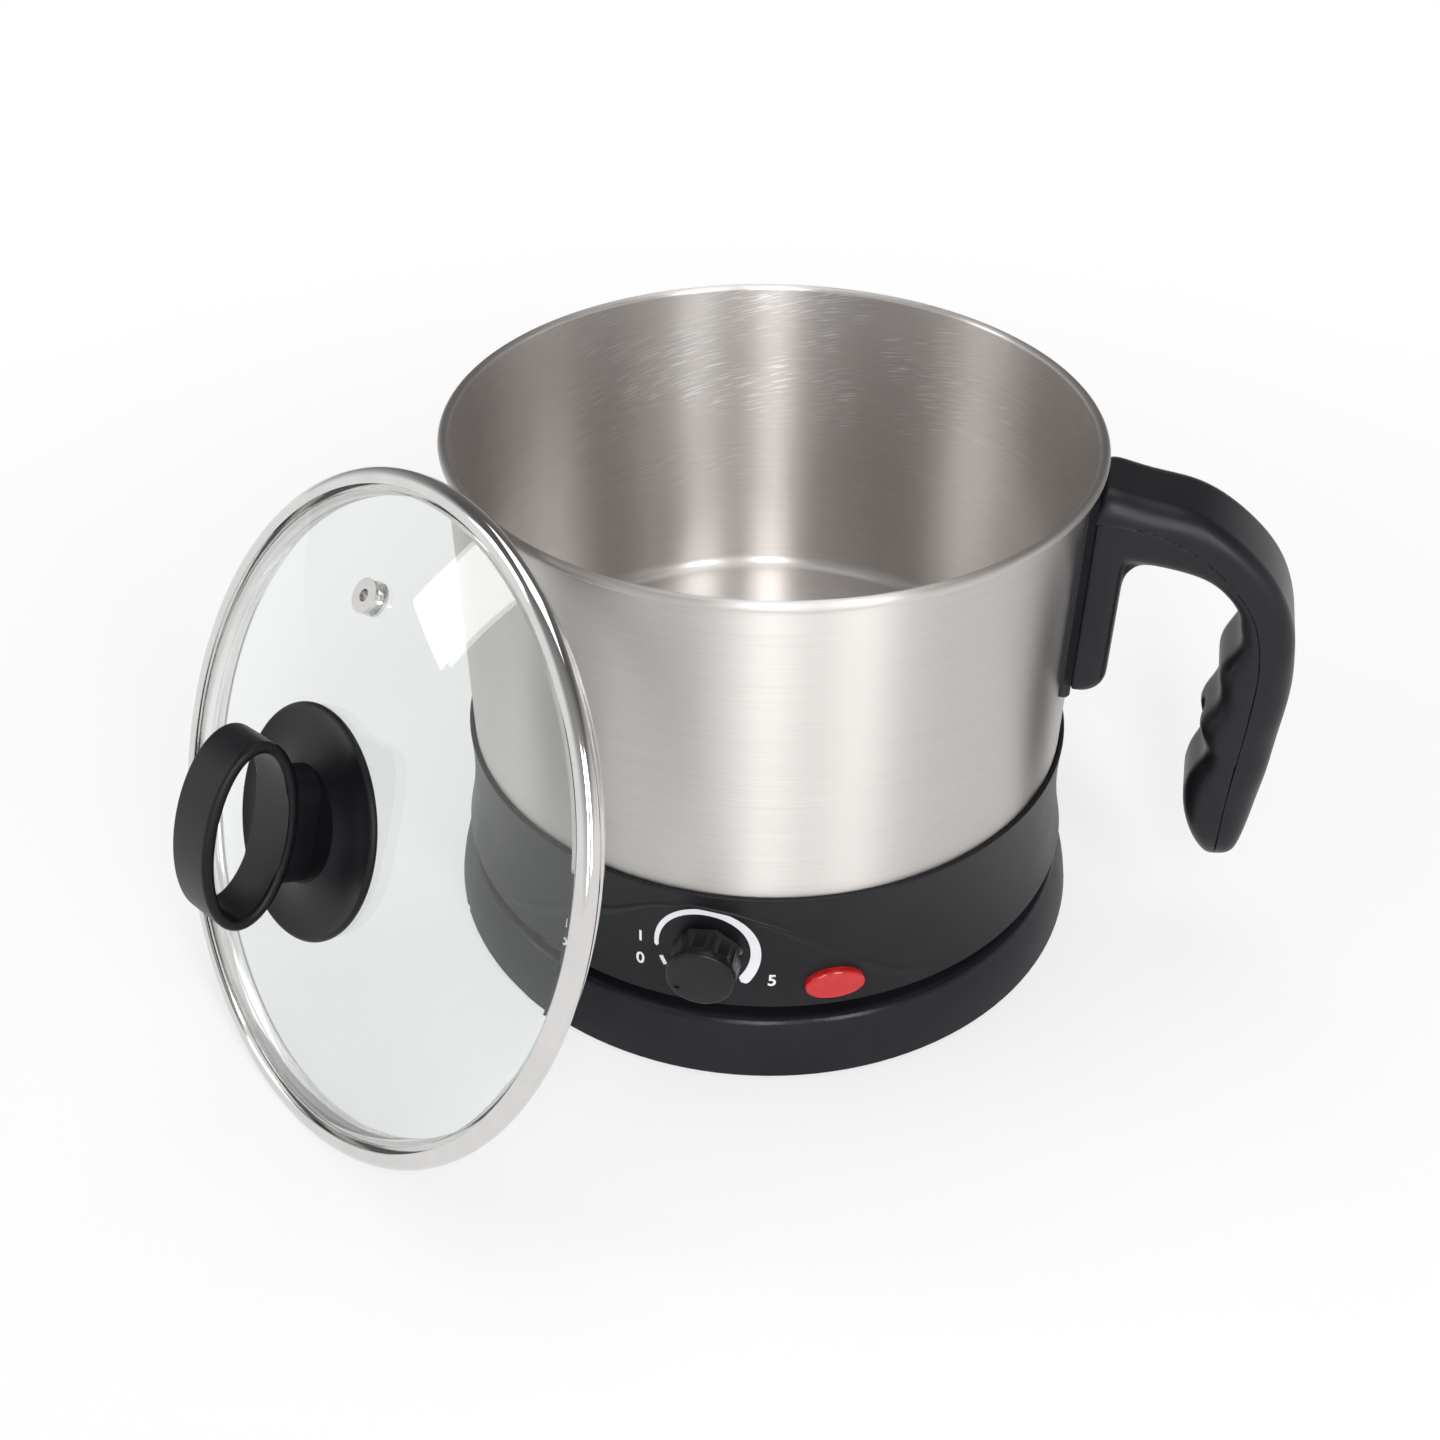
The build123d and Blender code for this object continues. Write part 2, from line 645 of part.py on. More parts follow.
def pot_connector():
    low = BASE_HEIGHT + SOCKET_PLAY
    cup = disc(socket_radius, low, socket_roof + SOCKET_TOP)
    cup += disc(socket_radius + SOCKET_FLANGE, tray_top, tray_top + SOCKET_FLANGE_THICK)
    cup -= disc(socket_bore, low - OVERRUN, socket_roof)
    for out, radius in contact_pins():
        cup -= disc(radius + FIT_GAP, low, socket_roof + SOCKET_TOP + OVERRUN, (out, 0))
    return cup


def pot_contacts():
    """Earth pin and two track pins, each with a tail above the cup."""
    top = socket_roof + SOCKET_TOP + PIN_TAIL
    tip = track_floor + TRACK_RING + CONTACT_GAP
    return group(disc(radius, tip, top, (out, 0)) for out, radius in contact_pins())


# Dial, thermostat and indicator


def thermo_height():
    """Height of the thermostat and its middle, from the dial's axis."""
    top = DIAL_PAD_RISE - THERMO_TOP_GAP
    return top + DIAL_PAD_DROP, (0, (top - DIAL_PAD_DROP) / 2)


def thermostat_plate():
    height, at = thermo_height()
    plate = block(DIAL_PAD_WIDTH, height, plate_back, pad_face, at)
    plate -= rod(BUSH_RADIUS + BUSH_PLAY, plate_back - OVERRUN, pad_face + OVERRUN)
    for side in (1, -1):
        plate -= rod(DIAL_SCREW_RADIUS, plate_back - OVERRUN, pad_face + OVERRUN, (side * DIAL_SCREW_OUT, 0))
    return dial_plane() * plate


def thermostat_body():
    """Switch block with its bush through the collar and two blades at the back."""
    height, at = thermo_height()
    back = plate_back - THERMO_DEPTH
    body = block(THERMO_WIDTH, height, back, plate_back, at)
    body += rod(BUSH_RADIUS, plate_back - FIT_GAP, collar_waist)
    body -= rod(SHAFT_RADIUS + SHAFT_FIT, shaft_root - FIT_GAP, collar_waist + OVERRUN)
    for side in (1, -1):
        out = side * (THERMO_WIDTH / 2 - THERMO_BLADE_WIDTH)
        body += block(THERMO_BLADE_WIDTH, THERMO_BLADE_THICK, back - THERMO_BLADE_LENGTH, back, (out, 0))
        body -= rod(DIAL_SCREW_RADIUS + FIT_GAP, plate_back - OVERRUN, plate_back + OVERRUN,
                    (side * DIAL_SCREW_OUT, 0))
    return dial_plane() * body


def thermostat_screws():
    screws = []
    for side in (1, -1):
        at = (side * DIAL_SCREW_OUT, 0)
        screw = rod(DIAL_SCREW_HEAD, screw_seat(), screw_seat() + DIAL_SCREW_HEAD_DEEP, at)
        screw += rod(DIAL_SCREW_RADIUS - FIT_GAP, plate_back, screw_seat() + FIT_GAP, at)
        screws.append(dial_plane() * screw)
    return group(screws)


def d_section(radius, start, end):
    """Round bar with one flat, on the side of the pointer."""
    flat = radius - SHAFT_FLAT
    bar = rod(radius, start, end) - Pos(flat + radius, 0, 0) * block(2 * radius, 4 * radius, start, end)
    return Rot(0, 0, DIAL_REST_ANGLE) * bar


def thermostat_shaft():
    shaft = rod(SHAFT_RADIUS, shaft_root, knob_back)
    shaft += d_section(SHAFT_RADIUS, knob_back - FIT_GAP, shaft_tip)
    return dial_plane() * shaft


def control_knob():
    """Tapered knob with shallow flutes, a smooth cap and a pointer dimple."""
    outline = make_face(Polyline((0, knob_back), (KNOB_RADIUS, knob_back),
                                 (KNOB_RADIUS - KNOB_TAPER, knob_face), (0, knob_face), close=True))
    knob = revolve(Plane.XZ * outline, Axis.Z)
    knob = round_edges(knob, knob_face, KNOB_EDGE)
    out = KNOB_RADIUS + FLUTE_RADIUS - FLUTE_DEPTH
    for k in range(KNOB_FLUTES):
        x, y = around(out, DIAL_REST_ANGLE + (k + 0.5) * 360 / KNOB_FLUTES)
        knob -= rod(FLUTE_RADIUS, knob_back - OVERRUN, knob_face - FLUTE_CAP, (x, y))
    knob -= d_section(SHAFT_RADIUS + SHAFT_FIT, knob_back - OVERRUN, shaft_tip + SHAFT_FIT)
    spot = around(POINTER_OUT, DIAL_REST_ANGLE)
    knob -= rod(POINTER_RADIUS, knob_face - POINTER_DEPTH, knob_face + OVERRUN, spot)
    return dial_plane() * knob


def indicator_lens():
    lens = lens_column(0, lens_back, lens_face)
    tip = lens.edges().sort_by(lambda e: e.center().X ** 2 + e.center().Y ** 2)[-1]
    return fillet(tip, LENS_EDGE)


def indicator_lamp():
    return lens_plane() * rod(LAMP_RADIUS, lens_back - LAMP_LENGTH, lens_back)


# Handle


def handle_point(share):
    """Point of the handle's outline from shares of its reach and drop."""
    return (handle_root + share[0] * HANDLE_REACH, handle_top - share[1] * HANDLE_DROP)


def handle_section(station, width):
    """Rounded section of the hook between its outer and inner line."""
    outer = handle_point(station[0])
    inner = handle_point(station[1])
    depth = math.hypot(outer[0] - inner[0], outer[1] - inner[1])
    across = Vector(outer[0] - inner[0], 0, outer[1] - inner[1])
    centre = ((outer[0] + inner[0]) / 2, 0, (outer[1] + inner[1]) / 2)
    plane = Plane(origin=centre, x_dir=across, z_dir=across.cross(Vector(0, 1, 0)))
    return plane * RectangleRounded(depth, width, HANDLE_ROUND_SHARE * min(depth, width))


def handle_hook():
    """Arm and grip, lofted from the pot to the rounded tip."""
    widths = [HANDLE_WIDTH] * (len(HANDLE_STATION_SHARES) - len(HANDLE_TIP_SHARES))
    widths += [share * HANDLE_WIDTH for share in HANDLE_TIP_SHARES]
    return loft([handle_section(s, w) for s, w in zip(HANDLE_STATION_SHARES, widths)])


def handle_column():
    """Upright of the handle, with the curve that leads into the arm."""
    under = handle_point((0, ARM_UNDER_SHARE))[1]
    line = Polyline((handle_root, under + COLUMN_CORNER), (handle_root, column_low),
                    (column_face - COLUMN_CORNER, column_low))
    line += RadiusArc((column_face - COLUMN_CORNER, column_low),
                      (column_face, column_low + COLUMN_CORNER), -COLUMN_CORNER)
    line += Polyline((column_face, column_low + COLUMN_CORNER), (column_face, under + COLUMN_CORNER),
                     (handle_root, under + COLUMN_CORNER))
    column = extrude(Plane.XZ * make_face(line), HANDLE_WIDTH / 2, both=True)
    rims = column.edges().filter_by(lambda e: abs(abs(e.center().Y) - HANDLE_WIDTH / 2) < FIT_GAP)
    rims = rims.filter_by(lambda e: e.center().X > handle_root + COLUMN_DEPTH / 2)
    rims = rims.filter_by(lambda e: e.center().Z < under)
    column = fillet(rims, COLUMN_ROUND)
    corner = Polyline((column_face - FIT_GAP, under - ARCH_CORNER), (column_face - FIT_GAP, under + FIT_GAP),
                      (column_face + ARCH_CORNER, under + FIT_GAP), (column_face + ARCH_CORNER, under))
    corner += RadiusArc((column_face + ARCH_CORNER, under), (column_face, under - ARCH_CORNER),
                        -ARCH_CORNER)
    corner += Line((column_face, under - ARCH_CORNER), (column_face - FIT_GAP, under - ARCH_CORNER))
    web = extrude(Plane.XZ * make_face(corner), HANDLE_WIDTH / 2 - COLUMN_ROUND, both=True)
    return column + web


def handle_blank():
    """Whole hook: column, arm and grip."""
    return handle_hook() + handle_column()


def cover_region():
    """Space on the outer side of the handle's seam."""
    seam = [handle_point(s) for s in HANDLE_SEAM_SHARES]
    far = handle_point((1 + HANDLE_CLEAR_SHARE, HANDLE_SEAM_SHARES[-1][1]))
    high = handle_point((1 + HANDLE_CLEAR_SHARE, -HANDLE_CLEAR_SHARE))
    root = handle_point((0, -HANDLE_CLEAR_SHARE))
    line = Spline(*seam) + Polyline(seam[-1], far, high, root, seam[0])
    return extrude(Plane.XZ * make_face(line), HANDLE_WIDTH, both=True)


def column_studs():
    """Heights of the two studs that hold the column."""
    return [anchor_low + (ANCHOR_HEIGHT - ANCHOR_STUD_PITCH) / 2 + k * ANCHOR_STUD_PITCH for k in (0, 1)]


def handle_plane(height):
    return outward(0, height)


def arm_screw_place():
    """Plane under the arm, pointing up into the cover."""
    x, z = handle_point((ARM_SCREW_SHARE, ARM_UNDER_SHARE))
    return Plane(origin=(x, 0, z), x_dir=(1, 0, 0), z_dir=(0, 0, 1))


def grip_screw_place():
    """Plane on the grip's inner side, pointing out into the cover."""
    x, z = handle_point((GRIP_FACE_SHARE, GRIP_SCREW_SHARE))
    return Plane(origin=(x, 0, z), x_dir=(0, 1, 0), z_dir=(1, 0, 0))


def seam_depth(place):
    """Distance from a screw's start to the seam along its line."""
    reach = place * rod(HANDLE_SCREW_RADIUS, 0, HANDLE_SCREW_REACH)
    inside = reach - cover_region()
    return inside.volume / (math.pi * HANDLE_SCREW_RADIUS ** 2)


def joining_screw(place, gap):
    """Screw with a sunk head, or its hole when grown by a gap."""
    head = HANDLE_SCREW_SINK + HANDLE_SCREW_HEAD_DEEP
    tip = seam_depth(place) + HANDLE_SCREW_BITE
    screw = rod(HANDLE_SCREW_HEAD + gap, -OVERRUN if gap else HANDLE_SCREW_SINK, head)
    return place * (screw + rod(HANDLE_SCREW_RADIUS + gap, head - FIT_GAP, tip + gap))


def handle_inner():
    body = handle_blank() - cover_region()
    for height in column_studs():
        seat = column_face - CAP_NUT_LENGTH
        hole = rod(ANCHOR_STUD + FIT_GAP, handle_root - OVERRUN, column_face + OVERRUN)
        hole += rod(CAP_NUT_RADIUS + CAP_NUT_PLAY, seat, column_face + OVERRUN)
        body -= handle_plane(height) * hole
    for place in (arm_screw_place(), grip_screw_place()):
        body -= joining_screw(place, FIT_GAP)
    return body


def handle_outer():
    body = handle_blank() & cover_region()
    for place in (arm_screw_place(), grip_screw_place()):
        body -= joining_screw(place, FIT_GAP)
    return body


def handle_screws():
    return group(joining_screw(place, 0) for place in (arm_screw_place(), grip_screw_place()))


def anchor_window(play):
    """Block round the anchor plate on the pot wall."""
    window = block(2 * (ANCHOR_HALF + play), ANCHOR_HEIGHT + 2 * play, 0, handle_root + OVERRUN)
    return handle_plane(anchor_low + ANCHOR_HEIGHT / 2) * window


def handle_bracket():
    """Strip that fills the space between the round pot and the flat column."""
    edge = math.sqrt(POT_RADIUS ** 2 - BRACKET_HALF ** 2) + BRACKET_EDGE
    plan = Polyline((0, -BRACKET_HALF), (edge, -BRACKET_HALF), (handle_root, -HANDLE_WIDTH / 2),
                    (handle_root, HANDLE_WIDTH / 2), (edge, BRACKET_HALF), (0, BRACKET_HALF), close=True)
    strip = Pos(0, 0, column_low) * extrude(make_face(plan), COLUMN_LENGTH)
    corners = strip.edges().filter_by(Axis.X).filter_by(lambda e: abs(e.center().Z - column_low) < FIT_GAP)
    strip = fillet(corners, BRACKET_CORNER)
    strip -= disc(POT_RADIUS, column_low - OVERRUN, handle_top + OVERRUN)
    strip = strip & handle_plane(column_low + COLUMN_LENGTH / 2) * block(
        4 * BRACKET_HALF, COLUMN_LENGTH, 0, handle_root)
    return strip - anchor_window(ANCHOR_PLAY)


def handle_anchor():
    high = anchor_low + ANCHOR_HEIGHT
    plate = ring(POT_RADIUS + ANCHOR_SHEET, POT_RADIUS, anchor_low, high) & anchor_window(0)
    for height in column_studs():
        tip = handle_root + ANCHOR_STUD_LENGTH
        plate += handle_plane(height) * rod(ANCHOR_STUD, POT_RADIUS + ANCHOR_SHEET / 2, tip)
    return plate


def handle_nuts():
    """Round cap nuts, blind towards the fingers."""
    nuts = []
    seat = column_face - CAP_NUT_LENGTH
    tip = handle_root + ANCHOR_STUD_LENGTH
    for height in column_studs():
        nut = rod(CAP_NUT_RADIUS, seat, column_face)
        nut -= rod(ANCHOR_STUD + FIT_GAP, seat - OVERRUN, tip + FIT_GAP)
        nuts.append(handle_plane(height) * nut)
    return group(nuts)


# Lid, drawn about its own axis and then leant on the rim


def lid_place():
    """Frame of the leaning lid: Z out along its knob, Y up its slope."""
    way = math.radians(LID_AZIMUTH)
    turn = math.radians(LID_TURN)
    side = Vector(-math.sin(way), math.cos(way), 0)
    normal = Vector(math.cos(way) * math.cos(lean), math.sin(way) * math.cos(lean), math.sin(lean))
    slope = Vector(-math.cos(way) * math.sin(lean), -math.sin(way) * math.sin(lean), math.cos(lean))
    x, y = around(lid_out, LID_AZIMUTH)
    centre = Vector(x, y, lid_z) + side * LID_SIDE_SHIFT
    return Plane(origin=centre, x_dir=side * math.cos(turn) + slope * math.sin(turn), z_dir=normal)


def vent_place():
    """Frame of the steam hole, square to the dome."""
    tilt = math.degrees(math.asin(vent_out / dome_radius))
    return Pos(0, vent_out, dome_height(vent_out)) * Rot(-tilt, 0, 0)


def lid_glass():
    """Dome with a flat edge that the band grips."""
    edge = lid_ring - GLASS_GAP
    half = cover_inner / 2
    line = Line((0, dome_top - GLASS_THICK), (0, dome_top))
    line += ThreePointArc((0, dome_top), (half, dome_height(half)), (cover_inner, glass_top))
    line += Polyline((cover_inner, glass_top), (edge, glass_top), (edge, glass_low),
                     (cover_inner, glass_low))
    line += ThreePointArc((cover_inner, glass_low), (half, dome_height(half) - GLASS_THICK),
                          (0, dome_top - GLASS_THICK))
    glass = revolve(Plane.XZ * make_face(line), Axis.Z)
    glass -= disc(LID_SCREW_RADIUS + LID_SCREW_PLAY, 0, dome_top + OVERRUN)
    return glass - vent_place() * rod(VENT_SHANK + FIT_GAP, -GLASS_THICK - OVERRUN, OVERRUN)


def lid_band():
    """Rolled band: a groove for the glass, a round roll and a beaded lip below."""
    line = Polyline((cover_inner, glass_top), (cover_inner, LID_ROLL), (lid_ring, LID_ROLL))
    line += ThreePointArc((lid_ring, LID_ROLL), (lid_ring + LID_ROLL, 0), (lid_ring, -LID_ROLL))
    line += Polyline((lid_ring, -LID_ROLL), (lip_outer, -LID_ROLL), (lip_outer, -LIP_DROP))
    line += ThreePointArc((lip_outer, -LIP_DROP), (lip_radius, -LIP_DROP - LIP_BEAD),
                          (lip_radius - LIP_BEAD, -LIP_DROP))
    line += Polyline((lip_radius - LIP_BEAD, -LIP_DROP), (lip_inner, -LIP_DROP + LIP_BEAD),
                     (lip_inner, glass_low), (lid_ring, glass_low), (lid_ring, glass_top),
                     (cover_inner, glass_top))
    return revolve(Plane.XZ * make_face(line), Axis.Z)


def lid_vent():
    """Riveted eyelet with a rim on both faces of the glass."""
    shank = rod(VENT_SHANK, -GLASS_THICK - VENT_RIM, VENT_RIM)
    shank += rod(VENT_RADIUS, FIT_GAP, VENT_RIM)
    shank += rod(VENT_RADIUS, -GLASS_THICK - VENT_RIM, -GLASS_THICK - FIT_GAP * 2)
    return vent_place() * (shank - rod(VENT_BORE, -GLASS_THICK - OVERRUN, OVERRUN))


def lid_skirt():
    """Dished disc with a thick rim, resting on the dome."""
    dip = SKIRT_DISH_SHARE * SKIRT_RADIUS
    under = dome_height(SKIRT_RADIUS / 2) + SKIRT_GAP
    line = Polyline((0, dome_top + SKIRT_GAP), (0, skirt_top), (NECK_LONG / 2, skirt_top))
    line += ThreePointArc((NECK_LONG / 2, skirt_top), (dip, skirt_rim - SKIRT_DISH),
                          (SKIRT_RADIUS - SKIRT_EDGE_THICK / 2, skirt_rim))
    line += ThreePointArc((SKIRT_RADIUS - SKIRT_EDGE_THICK / 2, skirt_rim),
                          (SKIRT_RADIUS, (skirt_low + skirt_rim) / 2),
                          (SKIRT_RADIUS - SKIRT_EDGE_THICK / 2, skirt_low))
    line += Polyline((SKIRT_RADIUS - SKIRT_EDGE_THICK / 2, skirt_low), (SKIRT_RADIUS / 2, under),
                     (0, dome_top + SKIRT_GAP))
    skirt_part = revolve(Plane.XZ * make_face(line), Axis.Z)
    return skirt_part - disc(LID_SCREW_RADIUS + LID_SCREW_PLAY, 0, skirt_top + OVERRUN)


def lid_loop():
    """Oval loop on a neck, with its opening across the lid."""
    across = Plane(origin=(0, 0, loop_z), x_dir=(0, 1, 0), z_dir=(1, 0, 0))
    neck_slot = Rot(0, 0, 90) * SlotOverall(NECK_LONG, NECK_WIDE)
    loop = extrude(across * Ellipse(LOOP_LONG, LOOP_HIGH), LOOP_HALF, both=True)
    inside = Ellipse(LOOP_LONG - LOOP_WALL, LOOP_HIGH - LOOP_WALL)
    hole = extrude(across * inside, LOOP_HALF + OVERRUN, both=True)
    band = loop - hole
    rims = band.edges().filter_by(lambda e: abs(abs(e.center().X) - LOOP_HALF) < FIT_GAP)
    band = fillet(rims, LOOP_EDGE)
    neck = extrude(Pos(0, 0, skirt_top) * neck_slot, LOOP_NECK + LOOP_HIGH) - hole
    band += neck & disc(NECK_LONG, skirt_top, loop_z - LOOP_HIGH / 2) & loop_space()
    return band - disc(LID_SCREW_RADIUS + FIT_GAP, skirt_top - OVERRUN, skirt_top + LID_SCREW_BITE)


def loop_space():
    """Everything below the loop's outer curve, so that the neck ends in it."""
    across = Plane(origin=(0, 0, loop_z), x_dir=(0, 1, 0), z_dir=(1, 0, 0))
    oval = extrude(across * Ellipse(LOOP_LONG, LOOP_HIGH), NECK_LONG, both=True)
    rise = LOOP_HIGH * math.sqrt(1 - (NECK_LONG / 2 / LOOP_LONG) ** 2)
    return disc(NECK_LONG, skirt_top, loop_z - rise) + oval


def washer_top():
    """Where a flat washer meets the hollow of the dome."""
    return dome_height(WASHER_RADIUS) - GLASS_THICK - FIT_GAP


def lid_washer():
    low = washer_top() - WASHER_THICK
    return ring(WASHER_RADIUS, LID_SCREW_RADIUS + LID_SCREW_PLAY, low, washer_top())


def lid_screw():
    seat = washer_top() - WASHER_THICK
    screw = disc(LID_SCREW_HEAD, seat - LID_SCREW_HEAD_DEEP, seat)
    return screw + disc(LID_SCREW_RADIUS, seat - FIT_GAP, skirt_top + LID_SCREW_BITE - FIT_GAP)


FIXED_PIECES = [base_top_cover, base_bottom_plate, base_feet, base_screws, cord_gland, base_connector,
                base_contacts, pot_shell, heat_spreader, heating_element, thermal_cutout, pot_seal,
                pot_studs, stud_nuts, collar, collar_tray, tray_screws, pot_connector, pot_contacts,
                thermostat_plate, thermostat_body, thermostat_screws, thermostat_shaft, control_knob,
                indicator_lens, indicator_lamp, handle_inner, handle_outer, handle_screws,
                handle_bracket, handle_anchor, handle_nuts]
LID_PIECES = [lid_glass, lid_band, lid_vent, lid_skirt, lid_loop, lid_washer, lid_screw]

os.makedirs("parts", exist_ok=True)
for piece in FIXED_PIECES:
    export_step(piece(), "parts/" + piece.__name__ + ".step")
for piece in LID_PIECES:
    export_step(lid_place() * piece(), "parts/" + piece.__name__ + ".step")
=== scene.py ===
import math

import bpy
from mathutils.bvhtree import BVHTree
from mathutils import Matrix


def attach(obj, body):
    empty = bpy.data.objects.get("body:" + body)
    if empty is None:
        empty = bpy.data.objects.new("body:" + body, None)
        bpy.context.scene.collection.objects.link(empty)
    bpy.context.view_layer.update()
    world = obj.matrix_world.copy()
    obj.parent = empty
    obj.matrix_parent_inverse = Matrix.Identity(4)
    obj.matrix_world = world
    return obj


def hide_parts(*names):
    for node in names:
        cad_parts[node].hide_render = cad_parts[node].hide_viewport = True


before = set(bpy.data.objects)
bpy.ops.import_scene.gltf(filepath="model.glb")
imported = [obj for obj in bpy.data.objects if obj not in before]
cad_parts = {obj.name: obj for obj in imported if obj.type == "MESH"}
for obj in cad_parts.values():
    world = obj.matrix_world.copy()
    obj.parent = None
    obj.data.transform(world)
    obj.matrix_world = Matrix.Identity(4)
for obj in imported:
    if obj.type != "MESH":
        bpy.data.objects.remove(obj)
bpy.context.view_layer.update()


# Power base: a flared round cover moulded in black plastic with a fine spark-eroded
# grain, closed from below by a plate that three screws hold to its posts. Hands have
# rubbed the grain off the cover's upper edge.

BASE_EDGE_HIGH = 0.0161
BASE_EDGE_HALF = 0.0006
BASE_EDGE_POLISH = 0.3


def fresh_finish(name):
    """New material, with its nodes and its shader."""
    finish = bpy.data.materials.new(name)
    finish.use_nodes = True
    return finish, finish.node_tree, finish.node_tree.nodes["Principled BSDF"]


def noise(tree, place, scale, detail):
    """Noise that is read at a place."""
    cloud = tree.nodes.new("ShaderNodeTexNoise")
    cloud.inputs["Scale"].default_value = scale
    cloud.inputs["Detail"].default_value = detail
    tree.links.new(place, cloud.inputs["Vector"])
    return cloud


def grain(tree, scale, detail, stretch=(1, 1, 1)):
    """Noise on the piece's own coordinates, stretched along chosen axes."""
    place = tree.nodes.new("ShaderNodeTexCoord")
    spread = tree.nodes.new("ShaderNodeMapping")
    spread.inputs["Scale"].default_value = stretch
    tree.links.new(place.outputs["Object"], spread.inputs["Vector"])
    return noise(tree, spread.outputs["Vector"], scale, detail).outputs["Fac"]


def shade_between(tree, value, tones):
    """Colour that drifts between two tones with a noise."""
    ramp = tree.nodes.new("ShaderNodeValToRGB")
    for stop, position, tone in zip(ramp.color_ramp.elements, (0.3, 0.7), tones):
        stop.position = position
        stop.color = (*tone, 1)
    tree.links.new(value, ramp.inputs["Fac"])
    return ramp.outputs["Color"]


def between(tree, value, low, high, start=0.25, end=0.75):
    """Number that goes from low to high as a noise or a place goes from start to end."""
    reach = tree.nodes.new("ShaderNodeMapRange")
    reach.inputs["From Min"].default_value = start
    reach.inputs["From Max"].default_value = end
    reach.inputs["To Min"].default_value = low
    reach.inputs["To Max"].default_value = high
    tree.links.new(value, reach.inputs["Value"])
    return reach.outputs["Result"]


def worked(tree, operation, *values):
    """Number worked out from sockets and constants."""
    step = tree.nodes.new("ShaderNodeMath")
    step.operation = operation
    for socket, value in zip(step.inputs, values):
        if isinstance(value, (int, float)):
            socket.default_value = value
        else:
            tree.links.new(value, socket)
    return step.outputs["Value"]


def own_place(tree):
    """The piece's own coordinates, one by one."""
    place = tree.nodes.new("ShaderNodeTexCoord")
    parts = tree.nodes.new("ShaderNodeSeparateXYZ")
    tree.links.new(place.outputs["Object"], parts.inputs["Vector"])
    return parts.outputs


def relief(tree, shader, value, strength, depth):
    """Fine height of the surface, in metres."""
    bump = tree.nodes.new("ShaderNodeBump")
    bump.inputs["Strength"].default_value = strength
    bump.inputs["Distance"].default_value = depth
    tree.links.new(value, bump.inputs["Height"])
    tree.links.new(bump.outputs["Normal"], shader.inputs["Normal"])


def moulded(name, tones, rough, grain_scale, grain_depth, gloss=0.22):
    """Moulded plastic or rubber: cloudy tone, uneven gloss and a fine grain."""
    finish, tree, shader = fresh_finish(name)
    cloud = grain(tree, scale=45, detail=4)
    tree.links.new(shade_between(tree, cloud, tones), shader.inputs["Base Color"])
    tree.links.new(between(tree, cloud, *rough), shader.inputs["Roughness"])
    shader.inputs["Specular IOR Level"].default_value = gloss
    relief(tree, shader, grain(tree, grain_scale, detail=3), strength=0.35, depth=grain_depth)
    return finish


def rubbed_strip(finish, height, half, polish):
    """Takes some roughness off a narrow strip about a height."""
    tree = finish.node_tree
    shader = tree.nodes["Principled BSDF"]
    strip = worked(tree, "COMPARE", own_place(tree)["Z"], height, half)
    grained = shader.inputs["Roughness"].links[0].from_socket
    tree.links.new(worked(tree, "MULTIPLY_ADD", strip, -polish, grained), shader.inputs["Roughness"])


def dress(finish, *nodes):
    """Gives CAD pieces their finish."""
    for node in nodes:
        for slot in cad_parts[node].material_slots:
            slot.material = finish


base_black = moulded("base_black", tones=((0.008, 0.0078, 0.0112), (0.0125, 0.0122, 0.0166)),
                     rough=(0.42, 0.54), grain_scale=2200, grain_depth=0.00012)
rubbed_strip(base_black, BASE_EDGE_HIGH, BASE_EDGE_HALF, BASE_EDGE_POLISH)
dress(base_black, "base_top_cover", "base_bottom_plate")


# Feet and cord gland: pressed rubber pads glued in shallow seats under the plate,
# and a rubber bush pushed into the rear wall.

pad_rubber = moulded("pad_rubber", tones=((0.03, 0.03, 0.031), (0.046, 0.046, 0.047)),
                     rough=(0.72, 0.86), grain_scale=1500, grain_depth=0.00015)
dress(pad_rubber, "base_feet", "cord_gland")


# Screws, studs and nuts: steel with a zinc plating, a little blue and uneven in its
# sheen. They hold the base, the collar, the thermostat, the handle and the lid's loop.

def bare_metal(name, tones, rough, scale, stretch=(1, 1, 1), anisotropy=0.0, depth=0.00002):
    """Metal with fine marks from the tool, the brush or the plating."""
    finish, tree, shader = fresh_finish(name)
    marks = grain(tree, scale, detail=5, stretch=stretch)
    tree.links.new(shade_between(tree, marks, tones), shader.inputs["Base Color"])
    tree.links.new(between(tree, marks, *rough), shader.inputs["Roughness"])
    shader.inputs["Metallic"].default_value = 1.0
    shader.inputs["Anisotropic"].default_value = anisotropy
    relief(tree, shader, marks, strength=0.12, depth=depth)
    return finish


zinc_plate = bare_metal("zinc_plate", tones=((0.5, 0.51, 0.54), (0.66, 0.67, 0.7)),
                        rough=(0.24, 0.4), scale=900)
dress(zinc_plate, "base_screws", "pot_studs", "stud_nuts", "tray_screws", "thermostat_plate",
      "thermostat_screws", "handle_screws", "handle_nuts", "thermostat_shaft", "lid_screw")


# Cordless coupling: dark heat-proof plastic on both halves, with turned brass rings
# and pins. The thermostat's body is moulded in the same plastic.

coupling_black = moulded("coupling_black", tones=((0.05, 0.05, 0.055), (0.08, 0.08, 0.085)),
                         rough=(0.5, 0.62), grain_scale=1800, grain_depth=0.0001)
dress(coupling_black, "base_connector", "pot_connector", "thermostat_body")
contact_brass = bare_metal("contact_brass", tones=((0.62, 0.43, 0.16), (0.78, 0.57, 0.25)),
                           rough=(0.22, 0.36), scale=700)
dress(contact_brass, "base_contacts", "pot_contacts")


# Pot: drawn stainless sheet, brushed round the wall so that every line runs along
# the circumference, with a rolled rim. The inside is smoother, and stirring has left
# short slanted scratches on the upper part of its wall.

